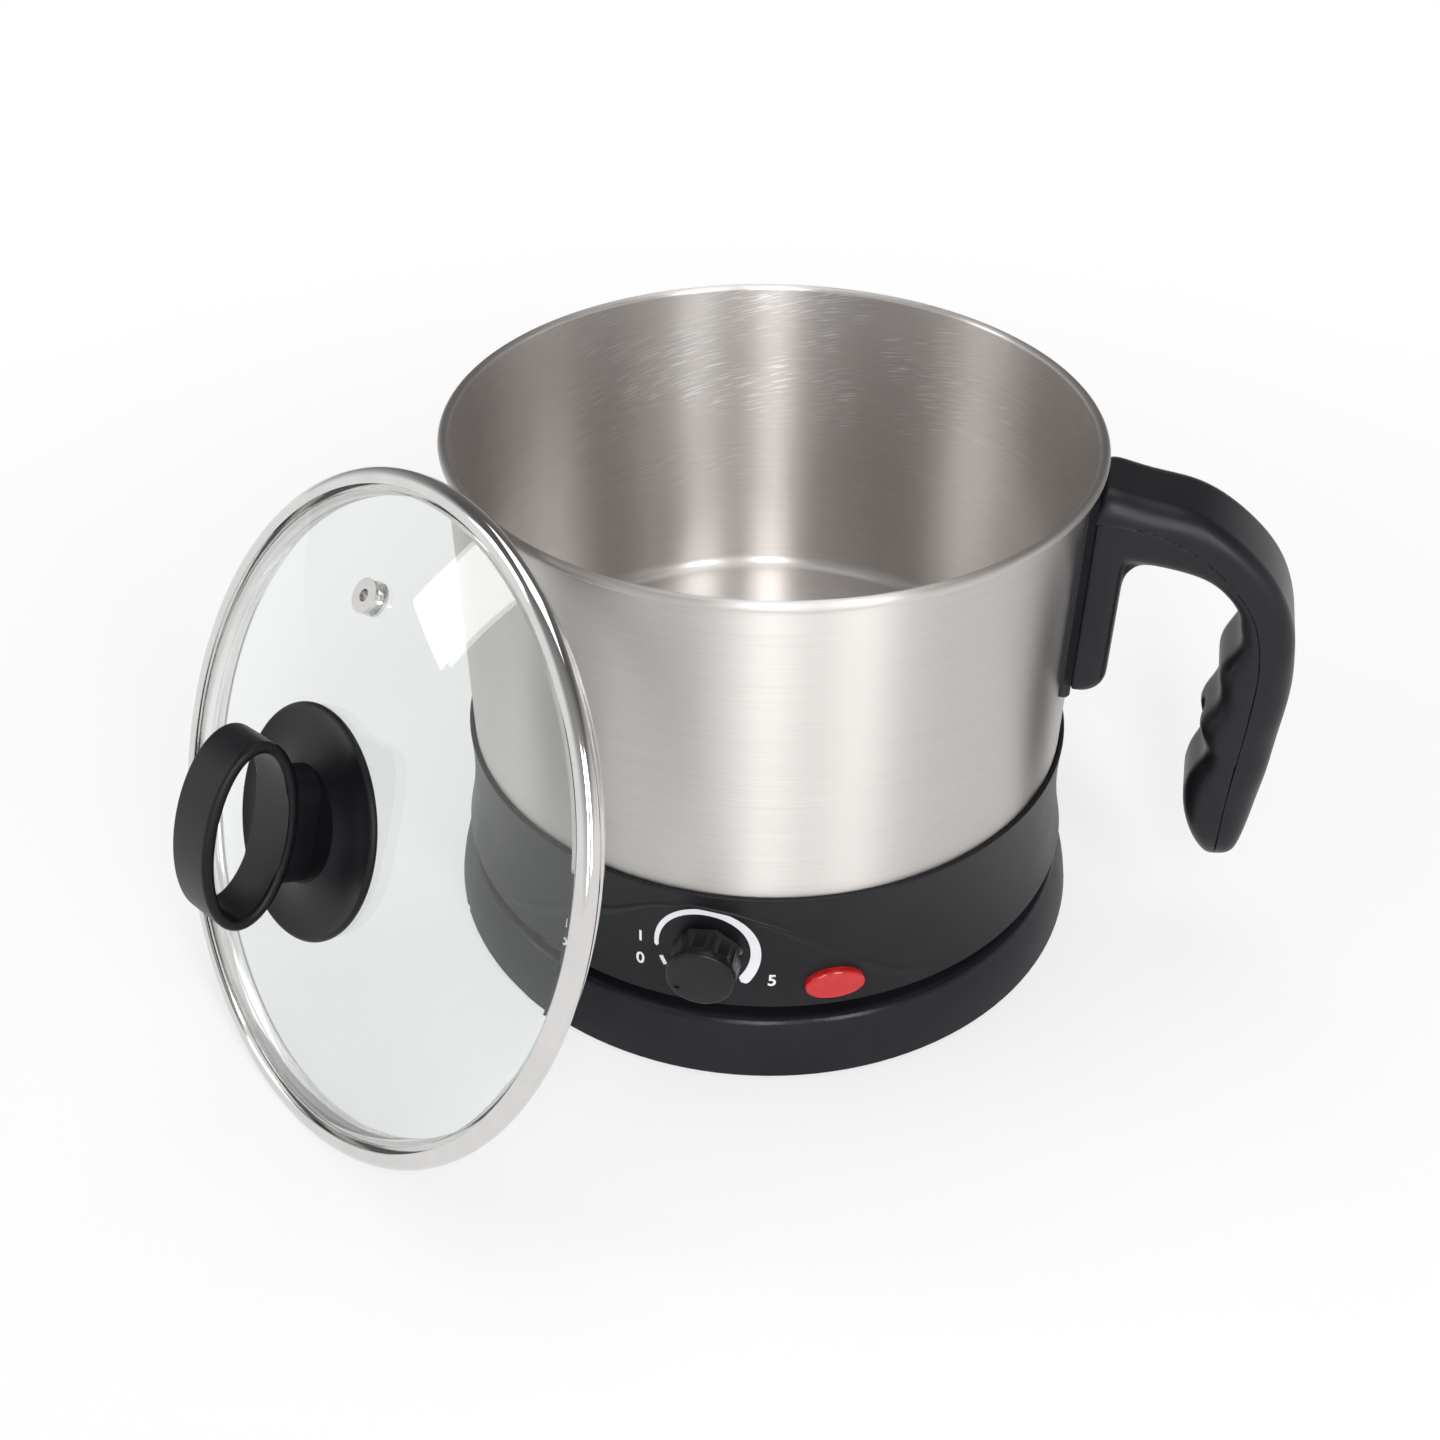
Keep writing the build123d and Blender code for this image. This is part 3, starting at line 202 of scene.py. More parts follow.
POT_OUTSIDE = 0.0812
POT_INSIDE = 0.0806
POT_WALL = POT_OUTSIDE - POT_INSIDE
POT_FLOOR = 0.05
POT_CORNER = 0.0045
RIM_BEAD = 0.0013
RIM_HIGH = 0.1423
RIM_START = -122.6
BRUSH_SQUEEZE = 130
INSIDE_POLISH = 0.13
SCRATCH_LONG = 0.009
SCRATCH_WIDE = 0.00042
SCRATCH_SLANT = math.radians(-13)
SCRATCH_WAY = math.radians(102)
SCRATCH_NONE_BELOW = 0.07
SCRATCH_FULL_ABOVE = 0.115
SCRATCH_LIGHT = (0.27, 0.28, 0.29)


def joined(tree, *values):
    """Place put together from its coordinates."""
    place = tree.nodes.new("ShaderNodeCombineXYZ")
    for socket, value in zip(place.inputs, values):
        tree.links.new(value, socket)
    return place.outputs["Vector"]


def slanted_scratches(tree, parts, inside):
    """Short scratches in patches, on the inner wall laid out flat."""
    way = worked(tree, "ARCTAN2", parts["Y"], parts["X"])
    laid_out = joined(tree, worked(tree, "MULTIPLY", way, POT_INSIDE), parts["Z"])
    slant = tree.nodes.new("ShaderNodeMapping")
    slant.vector_type = "TEXTURE"
    slant.inputs["Rotation"].default_value = (0, 0, SCRATCH_SLANT)
    slant.inputs["Scale"].default_value = (SCRATCH_LONG, SCRATCH_WIDE, 1)
    tree.links.new(laid_out, slant.inputs["Vector"])
    marks = noise(tree, slant.outputs["Vector"], scale=1, detail=1)
    marks.noise_dimensions = "2D"
    patches = noise(tree, laid_out, scale=38, detail=2)
    patches.noise_dimensions = "2D"
    off_middle = worked(tree, "ABSOLUTE", worked(tree, "SUBTRACT", way, SCRATCH_WAY))
    upper = between(tree, parts["Z"], 0, 1, start=SCRATCH_NONE_BELOW, end=SCRATCH_FULL_ABOVE)
    wall = worked(tree, "MULTIPLY", inside, upper)
    near_middle = between(tree, off_middle, 1, 0.3, start=0.3, end=0.8)
    zone = worked(tree, "MULTIPLY", wall, near_middle)
    patchy = between(tree, patches.outputs["Fac"], 0, 1, start=0.4, end=0.58)
    patch = worked(tree, "MULTIPLY", zone, patchy)
    marked = between(tree, marks.outputs["Fac"], 0, 1, start=0.57, end=0.68)
    return worked(tree, "MULTIPLY", patch, marked)


def brushed_pot():
    """Steel with brush lines round the axis on wall and floor."""
    finish, tree, shader = fresh_finish("brushed_pot")
    parts = own_place(tree)
    radius = tree.nodes.new("ShaderNodeVectorMath")
    radius.operation = "LENGTH"
    tree.links.new(joined(tree, parts["X"], parts["Y"]), radius.inputs[0])
    along = worked(tree, "ADD", parts["Z"], radius.outputs["Value"])
    squeezed = worked(tree, "MULTIPLY", along, BRUSH_SQUEEZE)
    brush = noise(tree, joined(tree, parts["X"], parts["Y"], squeezed), scale=28, detail=6)
    brush.inputs["Roughness"].default_value = 0.65
    lines = brush.outputs["Fac"]
    tone = shade_between(tree, lines, ((0.645, 0.617, 0.596), (0.735, 0.706, 0.684)))
    inside = worked(tree, "LESS_THAN", radius.outputs["Value"], (POT_OUTSIDE + POT_INSIDE) / 2)
    scratches = slanted_scratches(tree, parts, inside)
    bared = tree.nodes.new("ShaderNodeVectorMath")
    bared.operation = "MULTIPLY_ADD"
    bared.inputs[1].default_value = SCRATCH_LIGHT
    tree.links.new(scratches, bared.inputs[0])
    tree.links.new(tone, bared.inputs[2])
    tree.links.new(bared.outputs["Vector"], shader.inputs["Base Color"])
    brushed = between(tree, lines, 0.43, 0.52)
    smoother = worked(tree, "MULTIPLY_ADD", inside, -INSIDE_POLISH, brushed)
    tree.links.new(smoother, shader.inputs["Roughness"])
    shader.inputs["Metallic"].default_value = 1.0
    shader.inputs["Anisotropic"].default_value = 0.9
    shader.inputs["Anisotropic Rotation"].default_value = 0.25
    round_way = tree.nodes.new("ShaderNodeTangent")
    round_way.direction_type = "RADIAL"
    round_way.axis = "Z"
    tree.links.new(round_way.outputs["Tangent"], shader.inputs["Tangent"])
    relief(tree, shader, worked(tree, "ADD", lines, scratches), strength=0.15, depth=0.00006)
    return finish


def arc_points(out, high, radius, start, end, count):
    """Points along an arc of an outline, by its centre, radius and angles."""
    turns = [math.radians(start + (end - start) * k / count) for k in range(count + 1)]
    return [(out + radius * math.cos(turn), high + radius * math.sin(turn)) for turn in turns]


def turned(name, outline, steps, sharp):
    """Piece spun about the upright axis from an outline of radius and height."""
    bpy.ops.object.select_all(action="DESELECT")
    bpy.ops.mesh.primitive_plane_add(size=0.001)
    piece = bpy.context.object
    piece.name = name
    bpy.ops.object.mode_set(mode="EDIT")
    bpy.ops.mesh.select_all(action="SELECT")
    bpy.ops.mesh.merge(type="CENTER")
    bpy.ops.transform.translate(value=(outline[0][0], 0, outline[0][1]))
    for here, there in zip(outline, outline[1:]):
        step = (there[0] - here[0], 0, there[1] - here[1])
        bpy.ops.mesh.extrude_region_move(TRANSFORM_OT_translate={"value": step})
    bpy.ops.mesh.select_all(action="SELECT")
    bpy.ops.mesh.spin(steps=steps, angle=2 * math.pi, center=(0, 0, 0), axis=(0, 0, 1))
    bpy.ops.mesh.select_all(action="SELECT")
    bpy.ops.mesh.remove_doubles(threshold=0.000005)
    bpy.ops.mesh.normals_make_consistent(inside=False)
    bpy.ops.object.mode_set(mode="OBJECT")
    bpy.ops.object.shade_smooth_by_angle(angle=math.radians(sharp))
    return piece


corner_out = POT_OUTSIDE - POT_CORNER
corner_high = POT_FLOOR - POT_WALL + POT_CORNER
pot_outline = [(0, POT_FLOOR - POT_WALL)]
pot_outline += arc_points(corner_out, corner_high, POT_CORNER, start=-90, end=0, count=10)
pot_outline += arc_points(POT_INSIDE + RIM_BEAD, RIM_HIGH, RIM_BEAD, start=RIM_START, end=180, count=30)
pot_outline += arc_points(corner_out, corner_high, POT_CORNER - POT_WALL, start=0, end=-90, count=10)
pot_outline += [(0, POT_FLOOR)]
pot = turned("steel_pot", pot_outline, steps=256, sharp=30)
pot.data.materials.append(brushed_pot())
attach(pot, "pot")
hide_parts("pot_shell")


# Heating parts under the pot: an aluminium spreader with a brazed steel ring and a
# small cut-out, and a pale silicone seal. The handle's anchor is of the ring's steel
# and the lid's washer of the seal's silicone.

mill_aluminium = bare_metal("mill_aluminium", tones=((0.66, 0.66, 0.67), (0.78, 0.78, 0.79)),
                            rough=(0.3, 0.45), scale=300, stretch=(1, 12, 1), anisotropy=0.3)
dress(mill_aluminium, "heat_spreader", "thermal_cutout")
drawn_steel = bare_metal("drawn_steel", tones=((0.42, 0.41, 0.4), (0.56, 0.55, 0.53)),
                         rough=(0.3, 0.45), scale=500)
dress(drawn_steel, "heating_element", "handle_anchor")
silicone = moulded("silicone", tones=((0.5, 0.49, 0.46), (0.6, 0.59, 0.56)),
                   rough=(0.5, 0.62), grain_scale=900, grain_depth=0.0001)
dress(silicone, "pot_seal", "lid_washer")


# Collar: concave black moulding round the pot's foot, a little smoother than the
# base, with the tray screwed in from below. A shallow crease arches over the dial
# and runs out at the collar's lower edge on both sides.

COLLAR_ARC_OUT = 0.1897
COLLAR_ARC_HIGH = 0.04837
COLLAR_ARC_RADIUS = 0.107364
DIAL_DEGREES = -87
DIAL_WAY = math.radians(DIAL_DEGREES)
DIAL_HIGH = 0.0395
CREASE_SPOTS = ((-140, 0.0232), (-134, 0.0252), (-126, 0.0295), (-111, 0.0405), (-103.8, 0.0455),
                (-97, 0.0507), (-90, 0.0527), (-83, 0.0517), (-78.2, 0.0493), (-71.4, 0.0447),
                (-62, 0.0365), (-52.9, 0.0288), (-45.4, 0.0249), (-38, 0.0232))
CREASE_MIDDLE = -89.7
CREASE_SWEEP = 88
CREASE_LOWEST = 0.0232
CREASE_ABOVE = 0.0007
CREASE_BELOW = 0.0012
CREASE_BELOW_GAIN = 0.0034
CREASE_GAIN_OVER = 22
CREASE_TAPERS = 9
CREASE_RISE = 0.00042
CREASE_SUNK = 0.00008

collar_black = moulded("collar_black", tones=((0.008, 0.008, 0.0095), (0.0125, 0.0125, 0.0145)),
                       rough=(0.36, 0.46), grain_scale=2600, grain_depth=0.00007)
dress(collar_black, "collar", "collar_tray")


def collar_radius(height):
    """Outside of the collar at a height."""
    return COLLAR_ARC_OUT - math.sqrt(COLLAR_ARC_RADIUS ** 2 - (height - COLLAR_ARC_HIGH) ** 2)


def crease_height(way):
    """Height of the crease round the collar, on a smooth line through its spots."""
    for k in range(1, len(CREASE_SPOTS) - 2):
        (_, before), (left, low), (right, high), (_, after) = CREASE_SPOTS[k - 1:k + 3]
        if way <= right:
            break
    t = (way - left) / (right - left)
    bend = (high - before, after - low)
    return (low * (1 + 2 * t) * (1 - t) ** 2 + high * t * t * (3 - 2 * t)
            + bend[0] / 2 * t * (1 - t) ** 2 - bend[1] / 2 * t * t * (1 - t))


bpy.ops.object.select_all(action="DESELECT")
bpy.ops.mesh.primitive_grid_add(x_subdivisions=180, y_subdivisions=12, size=1)
crease = bpy.context.object
crease.name = "collar_crease"
for spot in crease.data.vertices:
    way = CREASE_MIDDLE + spot.co.x * CREASE_SWEEP
    down = 0.5 - spot.co.y
    ends = min(1, (0.5 - abs(spot.co.x)) * CREASE_TAPERS)
    gain = min(1, abs(way - DIAL_DEGREES) / CREASE_GAIN_OVER) ** 2 * ends
    below = CREASE_BELOW + CREASE_BELOW_GAIN * gain
    height = max(CREASE_LOWEST, crease_height(way) + CREASE_ABOVE - down * (CREASE_ABOVE + below))
    peak = CREASE_ABOVE / (CREASE_ABOVE + below)
    rise = down / peak if down < peak else (1 - down) / (1 - peak)
    radius = collar_radius(height) + CREASE_RISE * ends * rise * rise * (3 - 2 * rise) - CREASE_SUNK
    spot.co = (radius * math.cos(math.radians(way)), radius * math.sin(math.radians(way)), height)
bpy.ops.object.shade_smooth()
crease.data.materials.append(collar_black)
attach(crease, "pot")


# Dial marks: white ink printed on the collar round the knob, a band that widens
# clockwise from low heat to high, a short tick for off, and plain numbers.

PRINT_LIFT = 0.00014
PRINT_SHIFT = -0.0008
BAND_FROM = 187.0
BAND_TURN = -230.0
BAND_RADIUS = 0.0127
BAND_WIDTH = 0.0011
BAND_WIDTH_GAIN = 0.0019
BAND_TIP = 0.00002
TICK_MIDDLE = 207
TICK_TURN = 13
TICK_RADIUS = 0.0122
TICK_WIDTH = 0.0011
NUMBER_HEIGHT = 0.0046
NUMBER_STROKE = 0.0001
NUMBERS = (("0", -0.0178, -0.0078), ("1", -0.0178, -0.0008), ("5", 0.0162, -0.0088))

print_white = moulded("print_white", tones=((0.76, 0.77, 0.8), (0.86, 0.87, 0.89)),
                      rough=(0.5, 0.6), grain_scale=3000, grain_depth=0.00002)


def on_collar(across, up):
    """Point just off the collar, measured from the dial's axis to the right and upwards."""
    height = DIAL_HIGH + up
    radius = collar_radius(height) + PRINT_LIFT
    out = math.sqrt(radius ** 2 - across ** 2)
    x = math.cos(DIAL_WAY) * out - math.sin(DIAL_WAY) * across
    y = math.sin(DIAL_WAY) * out + math.cos(DIAL_WAY) * across
    return (x, y, height)


def round_dial(radius, angle):
    """Point on the collar by its distance and angle from the middle of the band."""
    return on_collar(radius * math.cos(angle) + PRINT_SHIFT, radius * math.sin(angle) + PRINT_SHIFT)


def print_piece(piece, name):
    """Inks a mark and fixes it to the pot."""
    piece.name = name
    piece.data.materials.clear()
    piece.data.materials.append(print_white)
    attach(piece, "pot")


def print_number(text, across, up):
    """Number with its middle at a place beside the band."""
    bpy.ops.object.select_all(action="DESELECT")
    bpy.ops.object.text_add()
    number = bpy.context.object
    number.data.body = text
    number.data.align_x = "CENTER"
    number.data.align_y = "CENTER"
    number.data.size = NUMBER_HEIGHT
    number.data.resolution_u = 6
    number.data.offset = NUMBER_STROKE
    bpy.ops.object.convert(target="MESH")
    bpy.ops.object.mode_set(mode="EDIT")
    bpy.ops.mesh.select_all(action="SELECT")
    bpy.ops.mesh.remove_doubles(threshold=0.00001)
    bpy.ops.mesh.quads_convert_to_tris()
    bpy.ops.mesh.subdivide(number_cuts=2)
    bpy.ops.object.mode_set(mode="OBJECT")
    for spot in number.data.vertices:
        spot.co = on_collar(spot.co.x + across, spot.co.y + up)
    print_piece(number, "dial_number_" + text)


bpy.ops.object.select_all(action="DESELECT")
bpy.ops.mesh.primitive_grid_add(x_subdivisions=90, y_subdivisions=4, size=1)
band = bpy.context.object
for spot in band.data.vertices:
    share = spot.co.x + 0.5
    width = BAND_WIDTH + BAND_WIDTH_GAIN * share
    end = min(share, 1 - share) * math.radians(-BAND_TURN) * BAND_RADIUS
    if end < width / 2:
        width = 2 * math.sqrt(max(0.0, (width / 2) ** 2 - (width / 2 - end) ** 2)) + BAND_TIP
    spot.co = round_dial(BAND_RADIUS + spot.co.y * width, math.radians(BAND_FROM + BAND_TURN * share))
print_piece(band, "dial_band")

bpy.ops.object.select_all(action="DESELECT")
bpy.ops.mesh.primitive_grid_add(x_subdivisions=8, y_subdivisions=3, size=1)
tick = bpy.context.object
for spot in tick.data.vertices:
    angle = math.radians(TICK_MIDDLE + spot.co.x * TICK_TURN)
    spot.co = round_dial(TICK_RADIUS + spot.co.y * TICK_WIDTH, angle)
print_piece(tick, "dial_tick")

for text, across, up in NUMBERS:
    print_number(text, across, up)


# Knob: black moulded cap with a smooth round face, wide hollows for the fingers round
# its side and a small dimple that points, pushed on the flat of the shaft.

KNOB_BACK = 0.0845
KNOB_RADIUS = 0.009
KNOB_LONG = 0.0094
KNOB_TAPER = 0.0004
KNOB_STEPS = (0.0062, 0.0008, 0.0024)
KNOB_EDGE = 0.0008
KNOB_HOLLOWS = 8
HOLLOW_DEEP = 0.0007
HOLLOW_END = 0.0066
HOLLOW_FULL = 0.8
POINTER_WAY = math.radians(210)
DIMPLE_OUT = 0.0066
DIMPLE_RADIUS = 0.0007
DIMPLE_DEEP = 0.0008

knob_black = moulded("knob_black", tones=((0.005, 0.005, 0.0058), (0.009, 0.009, 0.01)),
                     rough=(0.26, 0.36), grain_scale=2400, grain_depth=0.00005, gloss=0.3)


def cut_away(piece, cutter):
    """Takes a cutter's shape out of a piece, and then the cutter away."""
    bpy.ops.object.select_all(action="DESELECT")
    bpy.context.view_layer.objects.active = piece
    piece.select_set(True)
    cut = piece.modifiers.new("cut", "BOOLEAN")
    cut.object = cutter
    cut.solver = "EXACT"
    bpy.ops.object.modifier_apply(modifier="cut")
    bpy.data.objects.remove(cutter)


bpy.ops.object.select_all(action="DESELECT")
bpy.ops.mesh.primitive_circle_add(vertices=192, radius=KNOB_RADIUS, fill_type="NGON")
knob = bpy.context.object
knob.name = "knob_cap"
bpy.ops.object.mode_set(mode="EDIT")
bpy.ops.mesh.select_all(action="SELECT")
for step in KNOB_STEPS:
    bpy.ops.mesh.extrude_region_move(TRANSFORM_OT_translate={"value": (0, 0, step)})
bpy.ops.object.mode_set(mode="OBJECT")
for spot in knob.data.vertices:
    way = math.atan2(spot.co.y, spot.co.x)
    turn = (way - POINTER_WAY) * KNOB_HOLLOWS / (2 * math.pi)
    radius = KNOB_RADIUS - KNOB_TAPER * spot.co.z / KNOB_LONG
    if spot.co.z < HOLLOW_END:
        radius -= HOLLOW_DEEP * math.sin(math.pi * (turn - math.floor(turn))) ** HOLLOW_FULL
    spot.co = (radius * math.cos(way), radius * math.sin(way), spot.co.z)
for edge in knob.data.edges:
    edge.select = all(knob.data.vertices[v].co.z > KNOB_LONG - 0.0001 for v in edge.vertices)
for face in knob.data.polygons:
    face.select = False
bpy.ops.object.mode_set(mode="EDIT")
bpy.ops.mesh.select_mode(type="EDGE")
bpy.ops.mesh.bevel(offset=KNOB_EDGE, segments=5)
bpy.ops.mesh.select_mode(type="VERT")
bpy.ops.mesh.select_all(action="SELECT")
bpy.ops.mesh.normals_make_consistent(inside=False)
bpy.ops.object.mode_set(mode="OBJECT")
bpy.ops.mesh.primitive_cylinder_add(vertices=32, radius=DIMPLE_RADIUS, depth=DIMPLE_DEEP, location=(
    DIMPLE_OUT * math.cos(POINTER_WAY), DIMPLE_OUT * math.sin(POINTER_WAY), KNOB_LONG))
cut_away(knob, bpy.context.object)
knob.location = (KNOB_BACK * math.cos(DIAL_WAY), KNOB_BACK * math.sin(DIAL_WAY), DIAL_HIGH)
knob.rotation_euler = (math.radians(90), 0, DIAL_WAY + math.radians(90))
bpy.ops.object.transform_apply(location=True, rotation=True, scale=True)
bpy.ops.object.shade_smooth_by_angle(angle=math.radians(35))
knob.data.materials.clear()
knob.data.materials.append(knob_black)
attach(knob, "dial")
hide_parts("control_knob")


# Lens and lamp: an oval moulding of clear red plastic, pressed into the collar, and
# the small glow lamp of glass that sits behind it.

def red_lens():
    """Glossy red plastic that lets a little light through."""
    finish, tree, shader = fresh_finish("red_lens")
    cloud = grain(tree, scale=260, detail=3)
    tone = shade_between(tree, cloud, ((0.505, 0.012, 0.014), (0.56, 0.018, 0.02)))
    tree.links.new(tone, shader.inputs["Base Color"])
    tree.links.new(between(tree, cloud, 0.1, 0.18), shader.inputs["Roughness"])
    shader.inputs["Subsurface Weight"].default_value = 0.25
    shader.inputs["Subsurface Radius"].default_value = (0.004, 0.001, 0.001)
    relief(tree, shader, grain(tree, scale=700, detail=2), strength=0.1, depth=0.00004)
    return finish


dress(red_lens(), "indicator_lens")
lamp_glass = moulded("lamp_glass", tones=((0.7, 0.45, 0.4), (0.82, 0.58, 0.52)),
                     rough=(0.06, 0.12), grain_scale=600, grain_depth=0.00002)
dress(lamp_glass, "indicator_lamp")


# Handle: two moulded halves of black plastic with a fine matt grain, screwed together
# and held to the pot by studs through a thin bracket. The finger hollows of the inner
# half and its corner under the arm run softly into each other.

CORNER_OUT = 0.0905
CORNER_HIGH = 0.1209
CORNER_ROUND = 0.0066
CORNER_SINK = 0.001
CORNER_BLOCK = 0.0105
CORNER_WIDTH = 0.0225
CORNER_TAPER = 0.45
ARCH_WIDTH = 0.04
GRIP_VOXEL = 0.0007
BRACKET_FACE = 0.0822
SEAM_KEPT = 0.0012
SEAM_FADE = 0.003

handle_black = moulded("handle_black", tones=((0.007, 0.007, 0.0098), (0.011, 0.011, 0.0148)),
                       rough=(0.32, 0.42), grain_scale=1900, grain_depth=0.00012, gloss=0.3)
dress(handle_black, "handle_outer", "handle_bracket")

bpy.ops.object.select_all(action="DESELECT")
bpy.ops.mesh.primitive_cube_add(size=1, location=(CORNER_OUT + CORNER_SINK, 0, CORNER_HIGH - CORNER_SINK))
grip = bpy.context.object
grip.name = "handle_grip"
grip.scale = (CORNER_BLOCK, CORNER_WIDTH, CORNER_BLOCK)
bpy.ops.object.transform_apply(location=True, rotation=True, scale=True)
bpy.ops.mesh.primitive_cylinder_add(
    vertices=64, radius=CORNER_ROUND, depth=ARCH_WIDTH, rotation=(math.pi / 2, 0, 0),
    location=(CORNER_OUT + CORNER_ROUND, 0, CORNER_HIGH - CORNER_ROUND))
cut_away(grip, bpy.context.object)
block_start = CORNER_OUT + CORNER_SINK - CORNER_BLOCK / 2
for spot in grip.data.vertices:
    spot.co.y *= 1 - CORNER_TAPER * (spot.co.x - block_start) / CORNER_BLOCK
half = bpy.data.objects.new("handle_half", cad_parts["handle_inner"].data.copy())
bpy.context.collection.objects.link(half)
bpy.context.view_layer.objects.active = half
bpy.ops.object.select_all(action="DESELECT")
half.select_set(True)
bpy.ops.object.mode_set(mode="EDIT")
bpy.ops.mesh.select_all(action="SELECT")
bpy.ops.mesh.remove_doubles(threshold=0.000005)
bpy.ops.object.mode_set(mode="OBJECT")
bpy.context.view_layer.objects.active = grip
grip.select_set(True)
bpy.ops.object.join()
even = grip.modifiers.new("even", "REMESH")
even.mode = "VOXEL"
even.voxel_size = GRIP_VOXEL
bpy.ops.object.modifier_apply(modifier="even")
seam = BVHTree.FromObject(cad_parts["handle_outer"], bpy.context.evaluated_depsgraph_get())
soft = grip.vertex_groups.new(name="soft")
for spot in grip.data.vertices:
    away = min(seam.find_nearest(spot.co)[3], spot.co.x - BRACKET_FACE)
    soft.add([spot.index], min(1, max(0, (away - SEAM_KEPT) / SEAM_FADE)), "REPLACE")
ease = grip.modifiers.new("ease", "SMOOTH")
ease.factor = 0.5
ease.iterations = 14
ease.vertex_group = "soft"
bpy.ops.object.modifier_apply(modifier="ease")
bpy.ops.object.shade_smooth_by_angle(angle=math.radians(40))
grip.data.materials.clear()
grip.data.materials.append(handle_black)
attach(grip, "pot")
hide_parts("handle_inner")


# Lid: clear domed glass with a faint green edge, gripped by a rolled band of bright
# steel, with a steel eyelet for the steam. The band is turned lying flat and then
# leant against the pot with the glass.

LID_PLACE = (-0.0767322, -0.0952918, 0.0759754)
LID_LEAN = math.radians(65.394)
LID_TURN = math.radians(323.5)
LID_ROLL = 0.0026
LID_ROLL_OUT = 0.0807
GLASS_GRIP_OUT = 0.0792
GLASS_GRIP_HIGH = 0.00202
GLASS_EDGE = ((0.0791, 0.00228), (0.0793, 0.0025), (0.0797, LID_ROLL))
GROOVE_TOP = 0.002
GROOVE_BOTTOM = -0.0016
LIP_OUTSIDE = 0.0785
LIP_INSIDE = 0.0771
LIP_DROP = 0.0059
LIP_BEAD = 0.0012


def lid_clear():
    """Clear glass with a faint green tone."""
    finish, tree, shader = fresh_finish("lid_clear")
    cloud = grain(tree, scale=14, detail=2)
    tone = shade_between(tree, cloud, ((0.9, 0.932, 0.916), (0.925, 0.95, 0.938)))
    tree.links.new(tone, shader.inputs["Base Color"])
    tree.links.new(between(tree, cloud, 0.0, 0.012), shader.inputs["Roughness"])
    shader.inputs["Transmission Weight"].default_value = 1.0
    shader.inputs["IOR"].default_value = 1.5
    return finish


dress(lid_clear(), "lid_glass")
bright_band = bare_metal("bright_band", tones=((0.66, 0.645, 0.635), (0.71, 0.695, 0.685)),
                         rough=(0.07, 0.1), scale=110, depth=0.000002)
dress(bright_band, "lid_vent")
band_outline = [(GLASS_GRIP_OUT, GLASS_GRIP_HIGH), *GLASS_EDGE]
band_outline += arc_points(LID_ROLL_OUT, 0, LID_ROLL, start=90, end=-90, count=26)
band_outline += [(LIP_OUTSIDE, -LID_ROLL)]
band_outline += arc_points(LIP_OUTSIDE - LIP_BEAD, -LIP_DROP, LIP_BEAD, start=0, end=-180, count=12)
band_outline += [(LIP_INSIDE, LIP_BEAD - LIP_DROP), (LIP_INSIDE, GROOVE_BOTTOM),
                 (LID_ROLL_OUT, GROOVE_BOTTOM), (LID_ROLL_OUT, GROOVE_TOP),
                 (GLASS_GRIP_OUT, GLASS_GRIP_HIGH)]
rim = turned("lid_rim", band_outline, steps=256, sharp=40)
rim.location = LID_PLACE
rim.rotation_euler = (LID_LEAN, 0, LID_TURN)
bpy.ops.object.transform_apply(location=True, rotation=True, scale=True)
rim.data.materials.append(bright_band)
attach(rim, "lid")
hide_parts("lid_band")


# Lid knob: an oval loop on a dished disc, both moulded in satin black plastic and
# held by one screw through the glass.

loop_black = moulded("loop_black", tones=((0.004, 0.004, 0.0056), (0.0075, 0.0075, 0.0098)),
                     rough=(0.36, 0.46), grain_scale=2000, grain_depth=0.0001)
dress(loop_black, "lid_skirt", "lid_loop")


# Studio: white paper floor that fades into white, surroundings that are white at the
# horizon and grey overhead, darker to the back, and lamps behind the camera, beside
# the cooker and above it.

bpy.ops.object.select_all(action="DESELECT")
bpy.ops.mesh.primitive_plane_add(size=40)
floor = bpy.context.object
floor.name = "studio_floor"
paper, tree, shader = fresh_finish("studio_paper")
tone = shade_between(tree, grain(tree, scale=3, detail=2), ((0.9, 0.9, 0.9), (0.92, 0.92, 0.92)))
tree.links.new(tone, shader.inputs["Base Color"])
shader.inputs["Roughness"].default_value = 0.9
shader.inputs["Specular IOR Level"].default_value = 0.1
rays = tree.nodes.new("ShaderNodeLightPath").outputs
shown = worked(tree, "MAXIMUM", rays["Is Camera Ray"], rays["Is Glossy Ray"])
shown = worked(tree, "MAXIMUM", shown, rays["Is Transmission Ray"])
place = tree.nodes.new("ShaderNodeTexCoord")
away = tree.nodes.new("ShaderNodeVectorMath")
away.operation = "LENGTH"
tree.links.new(place.outputs["Object"], away.inputs[0])
fade = between(tree, away.outputs["Value"], 0.6, 1.0, start=0.16, end=0.5)
fade.node.interpolation_type = "SMOOTHSTEP"
glow = tree.nodes.new("ShaderNodeEmission")
glow.inputs["Color"].default_value = (1, 1, 1, 1)
glow.inputs["Strength"].default_value = 1.0
ground = tree.nodes.new("ShaderNodeMixShader")
tree.links.new(worked(tree, "MULTIPLY", shown, fade), ground.inputs["Fac"])
tree.links.new(shader.outputs["BSDF"], ground.inputs[1])
tree.links.new(glow.outputs["Emission"], ground.inputs[2])
tree.links.new(ground.outputs["Shader"], tree.nodes["Material Output"].inputs["Surface"])
floor.data.materials.append(paper)

